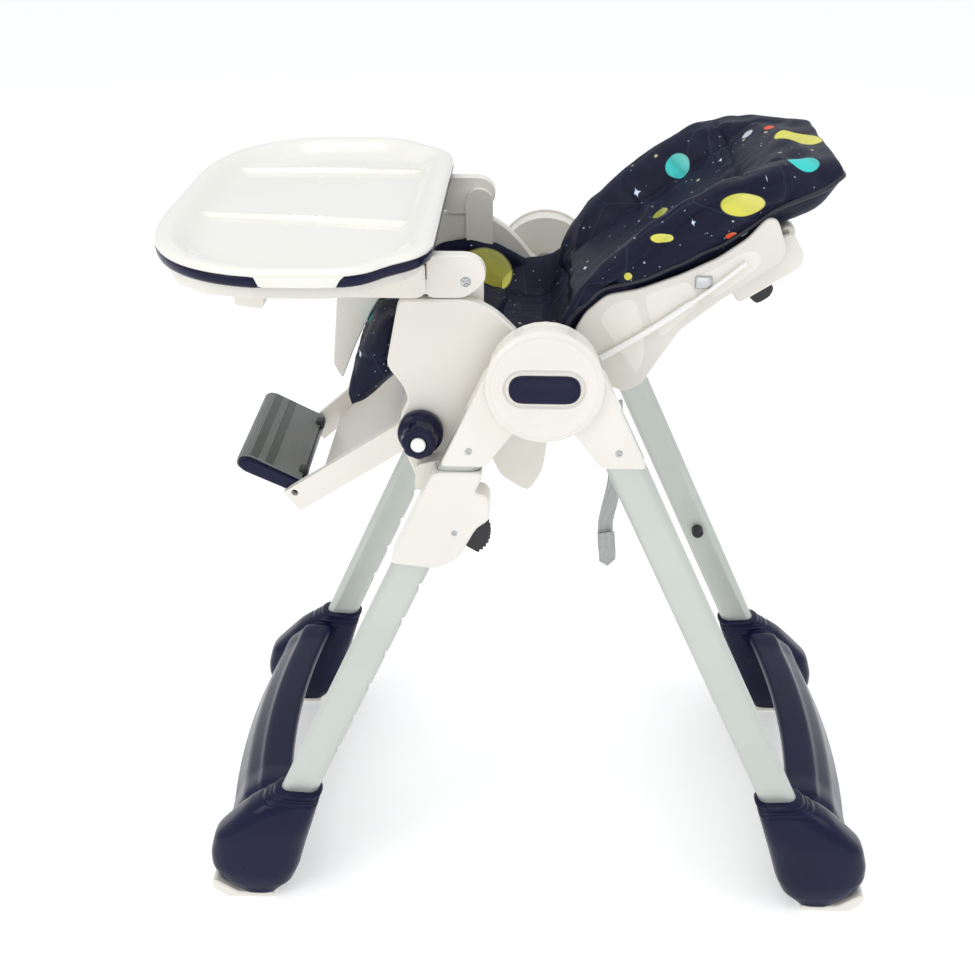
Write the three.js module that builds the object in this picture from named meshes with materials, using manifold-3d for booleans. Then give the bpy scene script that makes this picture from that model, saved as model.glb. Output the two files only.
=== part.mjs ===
// Folding baby high chair. Two leg frames cross at round hubs; the seat hangs on sleeves that
// slide on the front legs; the tray, backrest, leg rest and foot rest all move on the seat.
// Lengths are millimetres. +Z is up, the child faces -Y, and +X is the child's left.
import * as THREE from 'three';
import { mergeVertices } from 'three/addons/utils/BufferGeometryUtils.js';
import Module from 'manifold-3d';

const wasm = await Module();
wasm.setup();

// ---- Driving dimensions ----------------------------------------------------------------------
const degree = Math.PI / 180;
const gap = 0.4; // between pieces that touch
const slidingGap = 0.7; // between a sleeve and the tube it slides on

const hub = { height: 694, radius: 60, coverRadius: 62, axleRadius: 8, innerX: 192, midX: 205.6, outerX: 220 };
const leg = { lean: 24.5 * degree, offset: 40, width: 22, depth: 42, x: 206, top: 64, foot: 655 };
const notch = { first: 280, pitch: 50, count: 6, height: 9, width: 10, depth: 5 };
const foot = { innerX: 178, outerX: 240, socket: 656 };
const coverFace = 232; // outer face of the hub covers
const foldButton = { length: 75, height: 31, inner: 226, outer: 236 };

const panel = { innerX: 154, outerX: 170 };
const armPivot = { y: -84, z: 788, radius: 5 };
const arm = { innerX: 150.8, outerX: 168 };
const restPivot = { y: -134, z: 620, radius: 7 };
const restSlope = 38 * degree; // the leg rest hangs this far below level
const footHinge = { y: -290, z: 508, radius: 4 };
const backPivot = { y: 20, z: 672, radius: 6 };
const backSlope = 33 * degree; // the reclined back lies this far above level
const tray = { bottom: 803, rimBottom: 817, flange: 829.4, crest: 836, floor: 821, halfWidth: 284 };

// ---- Colours and finishes --------------------------------------------------------------------
const finishes = {
  cream: { color: 0xece6da, roughness: 0.42, metalness: 0 },
  navy: { color: 0x1c1b3f, roughness: 0.22, metalness: 0 },
  silver: { color: 0xa7aaa8, roughness: 0.38, metalness: 0.85 },
  tray: { color: 0xecede6, roughness: 0.15, metalness: 0 },
  black: { color: 0x15161a, roughness: 0.45, metalness: 0 },
  white: { color: 0xf2f2ef, roughness: 0.35, metalness: 0 },
  fabric: { color: 0x12132b, roughness: 0.6, metalness: 0 },
  webbing: { color: 0xa5a7a6, roughness: 0.85, metalness: 0 },
  steel: { color: 0xb9bbbd, roughness: 0.3, metalness: 1 },
};

const highChair = new THREE.Group();
const sides = [['left', 1], ['right', -1]];

function addMesh(name, geometry, finish, parent = highChair) {
  const mesh = new THREE.Mesh(geometry, new THREE.MeshStandardMaterial(finishes[finish]));
  mesh.name = name;
  parent.add(mesh);
  return mesh;
}

// ---- Solids: joining and cutting -------------------------------------------------------------
function toSolid(geometry) {
  const bare = geometry.clone();
  bare.deleteAttribute('normal');
  bare.deleteAttribute('uv');
  const merged = mergeVertices(bare, 1e-3);
  const vertProperties = new Float32Array(merged.attributes.position.array);
  const triVerts = new Uint32Array(merged.index.array);
  return new wasm.Manifold(new wasm.Mesh({ numProp: 3, vertProperties, triVerts }));
}

function toGeometry(solid) {
  const mesh = solid.getMesh();
  const geometry = new THREE.BufferGeometry();
  geometry.setAttribute('position', new THREE.BufferAttribute(new Float32Array(mesh.vertProperties), 3));
  geometry.setIndex(new THREE.BufferAttribute(new Uint32Array(mesh.triVerts), 1));
  geometry.computeVertexNormals();
  return geometry;
}

function join(...geometries) {
  return toGeometry(geometries.map(toSolid).reduce((whole, piece) => whole.add(piece)));
}

function cut(geometry, ...tools) {
  return toGeometry(tools.map(toSolid).reduce((rest, tool) => rest.subtract(tool), toSolid(geometry)));
}

// ---- Outlines --------------------------------------------------------------------------------
// A closed shape through the points, each corner rounded to at most the given radius.
function roundedShape(points, radius) {
  const corners = points.map(([u, v]) => new THREE.Vector2(u, v));
  const shape = new THREE.Shape();
  corners.forEach((corner, i) => {
    const before = corners[(i + corners.length - 1) % corners.length];
    const after = corners[(i + 1) % corners.length];
    const reach = Math.min(radius, corner.distanceTo(before) * 0.45, corner.distanceTo(after) * 0.45);
    const enter = corner.clone().lerp(before, reach / corner.distanceTo(before));
    const leave = corner.clone().lerp(after, reach / corner.distanceTo(after));
    if (i === 0) shape.moveTo(enter.x, enter.y);
    else shape.lineTo(enter.x, enter.y);
    shape.quadraticCurveTo(corner.x, corner.y, leave.x, leave.y);
  });
  shape.closePath();
  return shape;
}

function boxShape(width, depth, radius) {
  const [u, v] = [width / 2, depth / 2];
  return roundedShape([[-u, -v], [u, -v], [u, v], [-u, v]], radius);
}

function extrude(shape, depth, bevel = 0, curveSegments = 2) {
  const settings = { depth: depth - 2 * bevel, curveSegments, bevelEnabled: bevel > 0 };
  Object.assign(settings, { bevelThickness: bevel, bevelSize: bevel, bevelOffset: -bevel, bevelSegments: 1 });
  const geometry = new THREE.ExtrudeGeometry(shape, settings);
  return geometry.translate(0, 0, bevel);
}

// A slab whose outline is drawn in Y and Z, filling X from low to high.
const sideways = new THREE.Matrix4().makeBasis(
  new THREE.Vector3(0, 1, 0), new THREE.Vector3(0, 0, 1), new THREE.Vector3(1, 0, 0));

function slab(points, [low, high], radius = 4, bevel = 0, curveSegments = 2) {
  const shape = points instanceof THREE.Shape ? points : roundedShape(points, radius);
  return extrude(shape, high - low, bevel, curveSegments).applyMatrix4(sideways).translate(low, 0, 0);
}

// A range of X between two distances from the middle, on the given side.
function span(side, inner, outer) {
  return side > 0 ? [inner, outer] : [-outer, -inner];
}

function box([x0, x1], [y0, y1], [z0, z1]) {
  const geometry = new THREE.BoxGeometry(x1 - x0, y1 - y0, z1 - z0);
  return geometry.translate((x0 + x1) / 2, (y0 + y1) / 2, (z0 + z1) / 2);
}

// A round bar along X.
function bar(radius, [x0, x1], y, z, segments = 16) {
  const geometry = new THREE.CylinderGeometry(radius, radius, x1 - x0, segments);
  return geometry.rotateZ(-Math.PI / 2).translate((x0 + x1) / 2, y, z);
}

// A turned piece on an X axis, from pairs of radius and distance outward from the middle plane.
function turned(profile, side, y, z, segments = 24) {
  const points = profile.map(([radius, x]) => new THREE.Vector2(radius, x));
  return new THREE.LatheGeometry(points, segments).rotateZ(side > 0 ? -Math.PI / 2 : Math.PI / 2)
    .translate(0, y, z);
}

// ---- Leg frames ------------------------------------------------------------------------------
// A leg group sits at the hub axis and leans so that the leg runs down its own -Z.
// lie is +1 for the rear frame and -1 for the front one.
function legGroup(lie) {
  const group = new THREE.Group();
  group.position.set(0, 0, hub.height);
  group.rotation.x = lie * leg.lean;
  group.updateMatrixWorld();
  return group;
}

// A straight tube along a leg, grown by a clearance, between two distances from the hub axis.
function legTube(side, lie, from, to, clearance = 0) {
  const shape = boxShape(leg.width + 2 * clearance, leg.depth + 2 * clearance, 9);
  return extrude(shape, to - from).translate(side * leg.x, lie * leg.offset, -to);
}

function notchedTube(side, lie) {
  const rearFace = -leg.offset + leg.depth / 2;
  const slots = [];
  for (let i = 0; i < notch.count; i += 1) {
    const z = -(notch.first + i * notch.pitch);
    const x = side * leg.x;
    slots.push(box([x - notch.width / 2, x + notch.width / 2], [rearFace - notch.depth, rearFace + 1],
      [z - notch.height / 2, z + notch.height / 2]));
  }
  return cut(legTube(side, lie, leg.top, leg.foot), ...slots);
}

function mirrored(points, lie) {
  return points.map(([y, z]) => [lie * y, z]);
}

const bracketOutline = [[20, 728], [62, 703], [111, 598], [62, 598], [31, 640], [-10, 660], [-30, 700]];

// The moulded bracket that joins a leg to the hub. Inside the hub's radius each frame keeps to
// its own layer, so the two turn past each other.
function hubBracket(side, lie, group) {
  const front = lie < 0;
  const ownLayer = front ? [hub.innerX, hub.midX - gap / 2] : [hub.midX + gap / 2, hub.outerX];
  const otherLayer = front ? [hub.midX - gap / 2, hub.outerX + 1] : [hub.innerX - 1, hub.midX + gap / 2];
  const armBody = slab(mirrored(bracketOutline, lie), span(side, hub.innerX, hub.outerX), 6, 1.5);
  const clearing = bar(hub.radius + 1.5, span(side, ...otherLayer), 0, hub.height, 32);
  const disc = bar(hub.radius, span(side, ...ownLayer), 0, hub.height, 32);
  const pocket = legTube(side, lie, leg.top - gap, leg.foot, gap).applyMatrix4(group.matrixWorld);
  const bore = bar(hub.axleRadius + gap, span(side, hub.innerX - 5, hub.outerX + 5), 0, hub.height);
  return cut(join(cut(armBody, clearing), disc), pocket, bore);
}

const footOutline = [[317, 156], [264, 152], [270, 128], [287, 72], [299, 36], [322, 8], [372, 8],
  [398, 26], [408, 52], [402, 86], [356, 132]];
const glideOutline = [[328, 0], [388, 0], [403, 12], [405, 24], [399.5, 25.6], [372.6, 7.4], [328, 7.4]];
const crossbarOutline = [[320, 141], [352, 139], [380, 118], [396, 84], [399, 52], [392, 28], [383, 30],
  [388, 54], [384, 80], [370, 106], [347, 127], [318, 129]];

function footSolid(side, lie, group) {
  const body = slab(mirrored(footOutline, lie), span(side, foot.innerX, foot.outerX), 16, 5);
  const socket = legTube(side, lie, 600, foot.socket, gap).applyMatrix4(group.matrixWorld);
  return cut(body, socket);
}

function legFrame(place, lie) {
  const group = legGroup(lie);
  highChair.add(group);
  for (const [sideName, side] of sides) {
    const tube = lie < 0 ? notchedTube(side, lie) : legTube(side, lie, leg.top, leg.foot);
    addMesh(`${place}_leg_${sideName}`, tube, 'silver', group);
    addMesh(`${place}_hub_bracket_${sideName}`, hubBracket(side, lie, group), 'cream');
    addMesh(`${place}_foot_${sideName}`, footSolid(side, lie, group), 'navy');
    const glide = slab(mirrored(glideOutline, lie), span(side, foot.innerX + 8, foot.outerX - 6), 4, 1.5);
    addMesh(`${place}_glide_${sideName}`, glide, 'cream');
  }
  const half = foot.innerX - gap;
  addMesh(`${place}_crossbar`, slab(mirrored(crossbarOutline, lie), [-half, half], 8), 'navy');
}

// Pegs inside the rear legs, where the tray hangs when it is off the chair.
function trayPegs() {
  const along = 447;
  for (const [sideName, side] of sides) {
    const peg = turned([[0, 182], [6, 182], [8, 184], [8, 194.6], [0, 194.6]], side, 0, 0, 20);
    const y = leg.offset * Math.cos(leg.lean) + along * Math.sin(leg.lean);
    const z = hub.height + leg.offset * Math.sin(leg.lean) - along * Math.cos(leg.lean);
    addMesh(`tray_peg_${sideName}`, peg, 'black').position.set(0, y, z);
  }
}

// ---- Hubs ------------------------------------------------------------------------------------
function ovalShape(length, height) {
  const r = height / 2;
  const reach = length / 2 - r;
  const shape = new THREE.Shape();
  shape.absarc(reach, 0, r, -Math.PI / 2, Math.PI / 2);
  shape.absarc(-reach, 0, r, Math.PI / 2, 1.5 * Math.PI);
  shape.closePath();
  return shape;
}

function hubPieces() {
  const { inner, outer, length, height } = foldButton;
  const face = hub.outerX + gap;
  const r = hub.coverRadius;
  const coverProfile = [[0, face], [r - 1, face], [r, face + 1], [r, face + 4], [r - 3, face + 7.5],
    [r - 22, coverFace - 1], [0, coverFace]];
  for (const [sideName, side] of sides) {
    const window = slab(ovalShape(length + 2, height + 2), span(side, face - 2, coverFace + 2), 0, 0, 6);
    window.translate(0, 0, hub.height);
    const cover = cut(turned(coverProfile, side, 0, hub.height, 32), window);
    addMesh(`hub_cover_${sideName}`, cover, 'cream');
    const button = slab(ovalShape(length, height), span(side, inner, outer), 0, 2, 6);
    addMesh(`fold_button_${sideName}`, button, 'navy').position.z = hub.height;
    const axleProfile = [[0, hub.innerX - 4], [14, hub.innerX - 4], [14, hub.innerX - gap],
      [hub.axleRadius, hub.innerX - gap], [hub.axleRadius, hub.outerX - gap], [0, hub.outerX - gap]];
    addMesh(`hub_axle_${sideName}`, turned(axleProfile, side, 0, 0, 20), 'steel').position.z = hub.height;
  }
}

// ---- Height sliders --------------------------------------------------------------------------
const sleeveOutline = [[-118, 592], [-63, 592], [-74, 568], [-63, 567], [-57, 559], [-57, 536],
  [-72, 526], [-92, 487], [-117, 474], [-169, 480]];
const leverSlot = [[-95, 545], [-50, 545], [-50, 470], [-106, 470]];
const sliderWeb = [[-141, 556], [-104, 556], [-88, 592], [-118, 592], [-139, 586]];
const leverPivot = { y: -79, z: 532, radius: 3 };

// The thumb lever: a small arm with a ribbed arc that pulls the lock pin out of its notch.
function leverShape() {
  const [cy, cz, r] = [-84, 515, 25];
  const shape = new THREE.Shape();
  shape.moveTo(-88, 540);
  shape.lineTo(-68, 540);
  const ribs = 9;
  for (let i = 0; i <= 2 * ribs; i += 1) {
    const angle = (38 - i * 5.6) * degree;
    const reach = r + (i % 2 ? 2.6 : 0);
    shape.lineTo(cy + reach * Math.cos(angle), cz + reach * Math.sin(angle));
  }
  shape.lineTo(-84, 500);
  shape.lineTo(-90, 528);
  shape.closePath();
  return shape;
}

function heightSliders() {
  const frontGroup = legGroup(-1);
  for (const [sideName, side] of sides) {
    const sleeve = slab(sleeveOutline, span(side, 190, 224), 7, 2);
    const web = slab(sliderWeb, span(side, panel.outerX + gap, 192), 4);
    const tube = legTube(side, -1, 60, 400, slidingGap).applyMatrix4(frontGroup.matrixWorld);
    const slot = slab(leverSlot, span(side, 198, 216), 2);
    const pinHole = bar(leverPivot.radius + gap, span(side, 192, 222), leverPivot.y, leverPivot.z, 12);
    addMesh(`height_slider_${sideName}`, cut(join(sleeve, web), tube, slot, pinHole), 'cream');
    const lever = slab(leverShape(), span(side, 199, 215), 0, 0, 2);
    const pin = bar(leverPivot.radius, span(side, 193, 221), leverPivot.y, leverPivot.z, 12);
    addMesh(`height_lever_${sideName}`, join(lever, pin), 'black');
  }
}

// ---- Seat ------------------------------------------------------------------------------------
const panelOutline = [[-155, 768.6], [-84, 768.6], [-68, 764], [-50, 753], [-32, 735], [-16, 714], [6, 700],
  [30, 694], [42, 676], [38, 656], [14, 643], [-20, 640], [-60, 606], [-96, 572], [-112, 553], [-138, 553],
  [-148, 580], [-157, 602], [-157, 634], [-147, 652], [-151, 668], [-170, 694]];
const earOutline = [[-98, 700], [-66, 700], [-66, 796], [-78, 804], [-90, 804], [-100, 792]];
const panOutline = [[-150, 662], [-152, 690], [-44, 652], [-20, 644], [10, 638], [12, 606], [-30, 598],
  [-60, 610], [-110, 644]];
const skirtOutline = [[-60, 612], [-61, 570], [-48, 540], [-16, 520], [0, 548], [8, 612]];
const cushionOutline = [[-158, 696], [-160, 728], [-148, 738], [-108, 734], [-60, 712], [-36, 694],
  [-32, 674], [-44, 657]];
const legPadOutline = [[-161, 694], [-162, 734], [-178, 728], [-196, 695], [-214, 655], [-229, 612],
  [-206, 620], [-180, 652]];
const cushionHalfWidth = 134;
const legPadHalfWidth = 112;

function sidePanel(side) {
  const plate = slab(panelOutline, span(side, panel.innerX, panel.outerX), 7, 2);
  const ear = slab(earOutline, span(side, 140, 150.2), 8);
  const bridge = box(span(side, 145, 158), [-98, -66], [702, 764]);
  const pin = bar(armPivot.radius, span(side, 146, arm.outerX - 2), armPivot.y, armPivot.z, 16);
  const restBore = bar(restPivot.radius + gap, span(side, 150, 175), restPivot.y, restPivot.z);
  const backBore = bar(backPivot.radius + gap, span(side, 150, 175), backPivot.y, backPivot.z);
  return cut(join(plate, ear, bridge, pin), restBore, backBore);
}

function seat() {
  for (const [sideName, side] of sides) {
    addMesh(`side_panel_${sideName}`, sidePanel(side), 'cream');
  }
  const half = panel.innerX - gap;
  const pan = slab(panOutline, [-half, half], 5);
  const skirts = sides.map(([, side]) => slab(skirtOutline, span(side, 104, 120), 8));
  addMesh('seat_pan', join(pan, ...skirts), 'cream');
  addMesh('seat_cushion', slab(cushionOutline, [-cushionHalfWidth, cushionHalfWidth], 12, 6), 'fabric');
  addMesh('leg_pad', slab(legPadOutline, [-legPadHalfWidth, legPadHalfWidth], 9, 1.5), 'fabric');
  const rod = bar(backPivot.radius, [-165, 165], backPivot.y, backPivot.z);
  addMesh('back_pivot_rod', rod, 'steel');
  const buckle = slab([[-128, 739.5], [-96, 735], [-92, 744], [-124, 751]], [-22, 22], 5, 1.5);
  addMesh('harness_buckle', buckle, 'webbing');
  const strap = slab([[70, 598], [74, 598], [74, 470], [86, 434], [82, 432], [70, 468]], [24, 49], 2);
  addMesh('strap_tail', strap, 'webbing');
}

// ---- Backrest --------------------------------------------------------------------------------
// Drawn in the back's own frame: its Y runs up the back from the pivot, its Z points at the child.
const shellOutline = [[22, -10], [22, 16], [300, 16], [302, -8], [240, -14], [188, -16], [135, -22], [68, -54],
  [46, -52]];
const shellHollow = [[38, 4], [292, 6], [310, -30], [135, -60], [60, -70], [30, -60]];
const backEar = [[-12, -8], [-12, 8], [8, 14], [40, 14], [40, -14], [8, -14]];
const backCushionOutline = [[16, 17.5], [12, 32], [22, 47], [44, 61], [110, 82], [170, 88], [225, 86],
  [280, 84], [320, 84], [352, 58], [364, 22], [360, -8], [340, -14], [314, -4], [306, 17.5]];
const housingOutline = [[200, -36], [200, -2], [210, 3], [284, 5], [286, -24], [276, -36]];

function recliningRod(side) {
  const path = new THREE.CatmullRomCurve3([[47, 2], [90, -2], [130, -3], [171, 2], [203, 8]]
    .map(([y, z]) => new THREE.Vector3(side * 145, y, z)));
  const section = new THREE.Shape();
  section.absarc(0, 0, 3.4, 0, 2 * Math.PI);
  return new THREE.ExtrudeGeometry(section, { steps: 12, curveSegments: 4, extrudePath: path });
}

function backrest() {
  const group = new THREE.Group();
  group.position.set(0, backPivot.y, backPivot.z);
  group.rotation.x = backSlope;
  highChair.add(group);
  const body = cut(slab(shellOutline, [-140, 140], 6, 2), slab(shellHollow, [-128, 128], 4));
  const ears = sides.map(([, side]) => slab(backEar, span(side, 128.5, 139.5), 6));
  const bore = bar(backPivot.radius + gap, [-160, 160], 0, 0);
  addMesh('back_shell', cut(join(body, ...ears), bore), 'cream', group);
  addMesh('back_cushion', slab(backCushionOutline, [-148, 148], 16, 3), 'fabric', group);
  addMesh('recline_housing', slab(housingOutline, [-122, 122], 6, 2), 'cream', group);
  const lever = slab([[212, -37], [240, -37], [240, -44], [232, -50], [216, -50]], [-112, 112], 4);
  addMesh('recline_lever', lever, 'black', group);
  for (const [sideName, side] of sides) {
    addMesh(`recline_rod_${sideName}`, recliningRod(side), 'white', group);
  }
}

// ---- Leg rest and foot rest ------------------------------------------------------------------
// Drawn in the leg rest's own frame: -Y runs down the rest from its pivot, +Z is its upper face.
const railLength = 204;
const railEndX = 101; // middle of a rail at its foot end
const railTopX = 147.6; // middle of a rail at the pivot
const railHalfWidth = 5;

function restFromLevel(y, z) {
  const point = new THREE.Vector3(0, y - restPivot.y, z - restPivot.z);
  return point.applyAxisAngle(new THREE.Vector3(1, 0, 0), -restSlope);
}

function legRestPanel() {
  const rails = sides.map(([, side]) => {
    const shape = new THREE.Shape();
    shape.moveTo(side * (railTopX + railHalfWidth), 6);
    shape.lineTo(side * (railTopX - railHalfWidth), 6);
    shape.lineTo(side * (railTopX - railHalfWidth), -26);
    shape.lineTo(side * (railEndX - railHalfWidth), -railLength);
    shape.lineTo(side * (railEndX + railHalfWidth), -railLength);
    shape.lineTo(side * (railTopX + railHalfWidth), -30);
    shape.closePath();
    return extrude(shape, 30).translate(0, 0, -15);
  });
  const bosses = sides.map(([, side]) => bar(18, span(side, 142.6, 152.6), 0, 0, 28));
  const deck = new THREE.Shape();
  [[-142, -48], [142, -48], [112, -168], [-112, -168]].forEach(([x, y], i) => {
    if (i === 0) deck.moveTo(x, y);
    else deck.lineTo(x, y);
  });
  const deckPlate = extrude(deck, 9).translate(0, 0, -14);
  const hinge = restFromLevel(footHinge.y, footHinge.z);
  const pivotBore = bar(restPivot.radius + gap, [-160, 160], 0, 0);
  const footBore = bar(footHinge.radius + gap, [-120, 120], hinge.y, hinge.z, 16);
  return cut(join(...rails, ...bosses, deckPlate), pivotBore, footBore);
}

function legRest() {
  const group = new THREE.Group();
  group.position.set(0, restPivot.y, restPivot.z);
  group.rotation.x = restSlope;
  highChair.add(group);
  addMesh('leg_rest_panel', legRestPanel(), 'cream', group);
  const face = panel.outerX + gap;
  const end = 212;
  const r = restPivot.radius;
  const knobProfile = [[0, 143], [r, 143], [r, face], [22, face], [22.5, face + 2], [22, 177], [18.5, 179],
    [16.5, 198], [16.5, end - 3], [14.5, end], [8.4, end], [8.4, end - 6], [0, end - 6]];
  for (const [sideName, side] of sides) {
    addMesh(`leg_rest_knob_${sideName}`, turned(knobProfile, side, 0, 0, 24), 'navy', group);
    const button = turned([[0, end - 2], [8, end - 2], [8, end + 1.4], [7, end + 2.4], [0, end + 2.4]],
      side, 0, 0, 24);
    addMesh(`leg_rest_button_${sideName}`, button, 'white', group);
  }
  const plate = slab([[-282, 517], [-345, 548], [-355, 547], [-359, 537], [-352, 529], [-289, 499],
    [-280, 506]], [-92, 92], 6, 4);
  const pins = bar(footHinge.radius, [-104, 104], footHinge.y, footHinge.z, 14);
  addMesh('foot_rest', join(plate, pins), 'navy');
}

// ---- Tray ------------------------------------------------------------------------------------
// Half the tray's plan, from the middle of the front edge round to the middle of the rear edge.
function trayPlan(inset) {
  const half = new THREE.Path();
  half.moveTo(0, -418);
  half.lineTo(110, -418);
  half.quadraticCurveTo(284, -408, 284, -290);
  half.lineTo(284, -225);
  half.quadraticCurveTo(282, -180, 260, -167);
  half.quadraticCurveTo(246, -158, 236, -146);
  half.quadraticCurveTo(216, -118, 178, -116);
  half.lineTo(0, -116);
  const points = half.getPoints(4);
  const back = points.slice(1, -1).reverse().map((p) => new THREE.Vector2(-p.x, p.y));
  const middle = -267;
  const [sx, sy] = [1 - inset / tray.halfWidth, 1 - inset / 151];
  const whole = [...points, ...back].map((p) => new THREE.Vector2(p.x * sx, middle + (p.y - middle) * sy));
  return new THREE.Shape(whole);
}

function trayLayer(inset, low, high, bevel = 0) {
  return extrude(trayPlan(inset), high - low, bevel).translate(0, 0, low);
}

const tab = { y0: -280, y1: -199, bottom: 819.5 };

function trayArms() {
  const block = [[-125, 769.6], [-86, 769.6], [-66, 784], [-62, 797], [-68, 810], [-80, 816], [-125, 816]];
  for (const [sideName, side] of sides) {
    const range = span(side, arm.innerX, arm.outerX);
    const head = slab(block, range, 7, 1);
    const rail = box(range, [-290, -118], [774, 790]);
    const bore = bar(armPivot.radius + gap, range.map((x, i) => x + (i ? 5 : -5)), armPivot.y, armPivot.z, 16);
    addMesh(`tray_arm_${sideName}`, cut(join(head, rail), bore), 'cream');
  }
}

function trayBase() {
  const pieces = [trayLayer(14, tray.bottom, tray.rimBottom - gap)];
  const channels = [];
  for (const [, side] of sides) {
    pieces.push(slab([[-300, 772], [-134, 771], [-126, 776], [-126, 808], [-300, 808]],
      span(side, 145, 173), 5));
    pieces.push(box(span(side, 172, 214), [-287, -198], [794, 806]));
    channels.push(box(span(side, arm.innerX - gap, arm.outerX + gap), [-302, -120], [774 - gap, 790 + gap]));
  }
  return cut(join(...pieces), ...channels);
}

function trayRim() {
  const ring = cut(trayLayer(0, tray.rimBottom, tray.flange - gap, 2), trayLayer(16, 810, 835));
  const notches = sides.map(([, side]) =>
    box(span(side, 274, 290), [tab.y0 - 2, tab.y1 + 2], [810, 835]));
  return cut(ring, ...notches);
}

// A low divider across the tray floor, leaning in its sides.
function divider(frontX, rearX) {
  const shape = new THREE.Shape();
  [[-13, tray.floor - 2], [13, tray.floor - 2], [6, 831], [-6, 831]].forEach(([x, z], i) => {
    if (i === 0) shape.moveTo(x, z);
    else shape.lineTo(x, z);
  });
  const [front, rear] = [-412, -122];
  const geometry = new THREE.ExtrudeGeometry(shape, { depth: rear - front, bevelEnabled: false });
  geometry.rotateX(Math.PI / 2).translate(0, rear, 0);
  return geometry.applyMatrix4(new THREE.Matrix4().set(
    1, (rearX - frontX) / (rear - front), 0, frontX - front * (rearX - frontX) / (rear - front),
    0, 1, 0, 0, 0, 0, 1, 0, 0, 0, 0, 1));
}

function trayInsert() {
  const body = join(
    trayLayer(0, tray.flange, tray.crest, 3),
    trayLayer(17, tray.rimBottom + gap, tray.flange + 2),
    ...sides.map(([, side]) => box(span(side, 275, 284.5), [tab.y0, tab.y1], [tab.bottom, 831])),
  );
  const hollow = cut(trayLayer(20, tray.floor, tray.crest + 9, 8), divider(26, 66), divider(-156, -180));
  return cut(body, hollow);
}

function trayPieces() {
  trayArms();
  addMesh('tray_base', trayBase(), 'cream');
  addMesh('tray_rim', trayRim(), 'navy');
  addMesh('tray_insert', trayInsert(), 'tray');
  const post = [[-234, tray.bottom - gap], [-172, tray.bottom - gap], [-172, 762], [-180, 738], [-203, 701],
    [-224, 656], [-240, 616], [-250, 636]];
  addMesh('crotch_post', slab(post, [-20, 20], 4, 1), 'cream');
  for (const [sideName, side] of sides) {
    const latch = cut(slab([[-320, 774], [-290, 770], [-288, 802.4], [-318, 802.4]], span(side, 180, 208), 4),
      box(span(side, 184, 204), [-330, -294], [778, 796]));
    addMesh(`tray_latch_${sideName}`, latch, 'cream');
  }
}

legFrame('front', -1);
legFrame('rear', 1);
trayPegs();
hubPieces();
heightSliders();
seat();
backrest();
legRest();
trayPieces();

export default highChair;
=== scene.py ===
import math

import bmesh
import bpy
import numpy as np
from mathutils import Matrix


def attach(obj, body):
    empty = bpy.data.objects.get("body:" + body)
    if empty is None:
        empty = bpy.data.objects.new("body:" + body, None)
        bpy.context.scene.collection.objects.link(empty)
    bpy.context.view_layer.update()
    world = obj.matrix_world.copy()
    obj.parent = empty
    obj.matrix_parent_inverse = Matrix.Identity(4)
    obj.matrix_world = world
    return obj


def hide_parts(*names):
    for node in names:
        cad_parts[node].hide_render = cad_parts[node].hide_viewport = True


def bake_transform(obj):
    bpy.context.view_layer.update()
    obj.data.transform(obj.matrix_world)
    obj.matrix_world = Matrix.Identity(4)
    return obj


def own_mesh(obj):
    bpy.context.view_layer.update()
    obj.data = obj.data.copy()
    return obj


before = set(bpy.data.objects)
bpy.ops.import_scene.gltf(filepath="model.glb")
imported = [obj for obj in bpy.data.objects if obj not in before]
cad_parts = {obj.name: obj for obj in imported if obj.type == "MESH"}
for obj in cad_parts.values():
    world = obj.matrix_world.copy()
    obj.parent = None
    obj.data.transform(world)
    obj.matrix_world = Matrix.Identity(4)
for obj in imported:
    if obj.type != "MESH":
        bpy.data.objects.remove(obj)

bl_info = {
    "name": "Baby High Chair",
    "version": (1, 0, 0),
    "blender": (4, 5, 0),
    "location": "3D View > Sidebar > High Chair",
    "description": "Builds the visible pieces of a folding baby high chair around its frame",
    "category": "Object",
}

MM = 0.001
LEAN = math.radians(24.5)  # leg frames, from upright
BACK_SLOPE = math.radians(33)  # reclined back, above level
HUB_HEIGHT = 694
HUB_TO_TUBE = 40  # tubes' centre lines pass the hub this far out
BACK_PIVOT = (20, 672)  # y, z
LEG_ACROSS = 206  # leg tubes' centre lines from the middle
SLEEVE_FACE, BRACKET_FACE, BOOT_FACE, ARM_FACE = 223.9, 219.9, 222.0, 167.9  # outer faces under screws
WALL_INSIDE, WALL_OUTSIDE = 132.8, 139.8  # side walls of the back's shell
SIDES = (("left", 1), ("right", -1))
CURVE_STEPS = 400  # places at which a softened curve is stored
WELD = 2e-6  # metres within which points are one
PRESSURE_STEPS, FILL_PRESSURE = 20, 4.0
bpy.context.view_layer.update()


# ---- Curves and outlines ---------------------------------------------------------------------
def along(points, count, closed=False):
    """Evenly spaced points on the broken line through the given points: each coordinate is read
    off at equal steps of distance travelled."""
    points = np.asarray(points, float)
    if closed:
        points = np.vstack([points, points[:1]])
    travelled = np.concatenate([[0], np.cumsum(np.linalg.norm(np.diff(points, axis=0), axis=1))])
    steps = np.linspace(0, travelled[-1], count, endpoint=not closed)
    return np.stack([np.interp(steps, travelled, points[:, k]) for k in range(points.shape[1])], 1)


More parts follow.
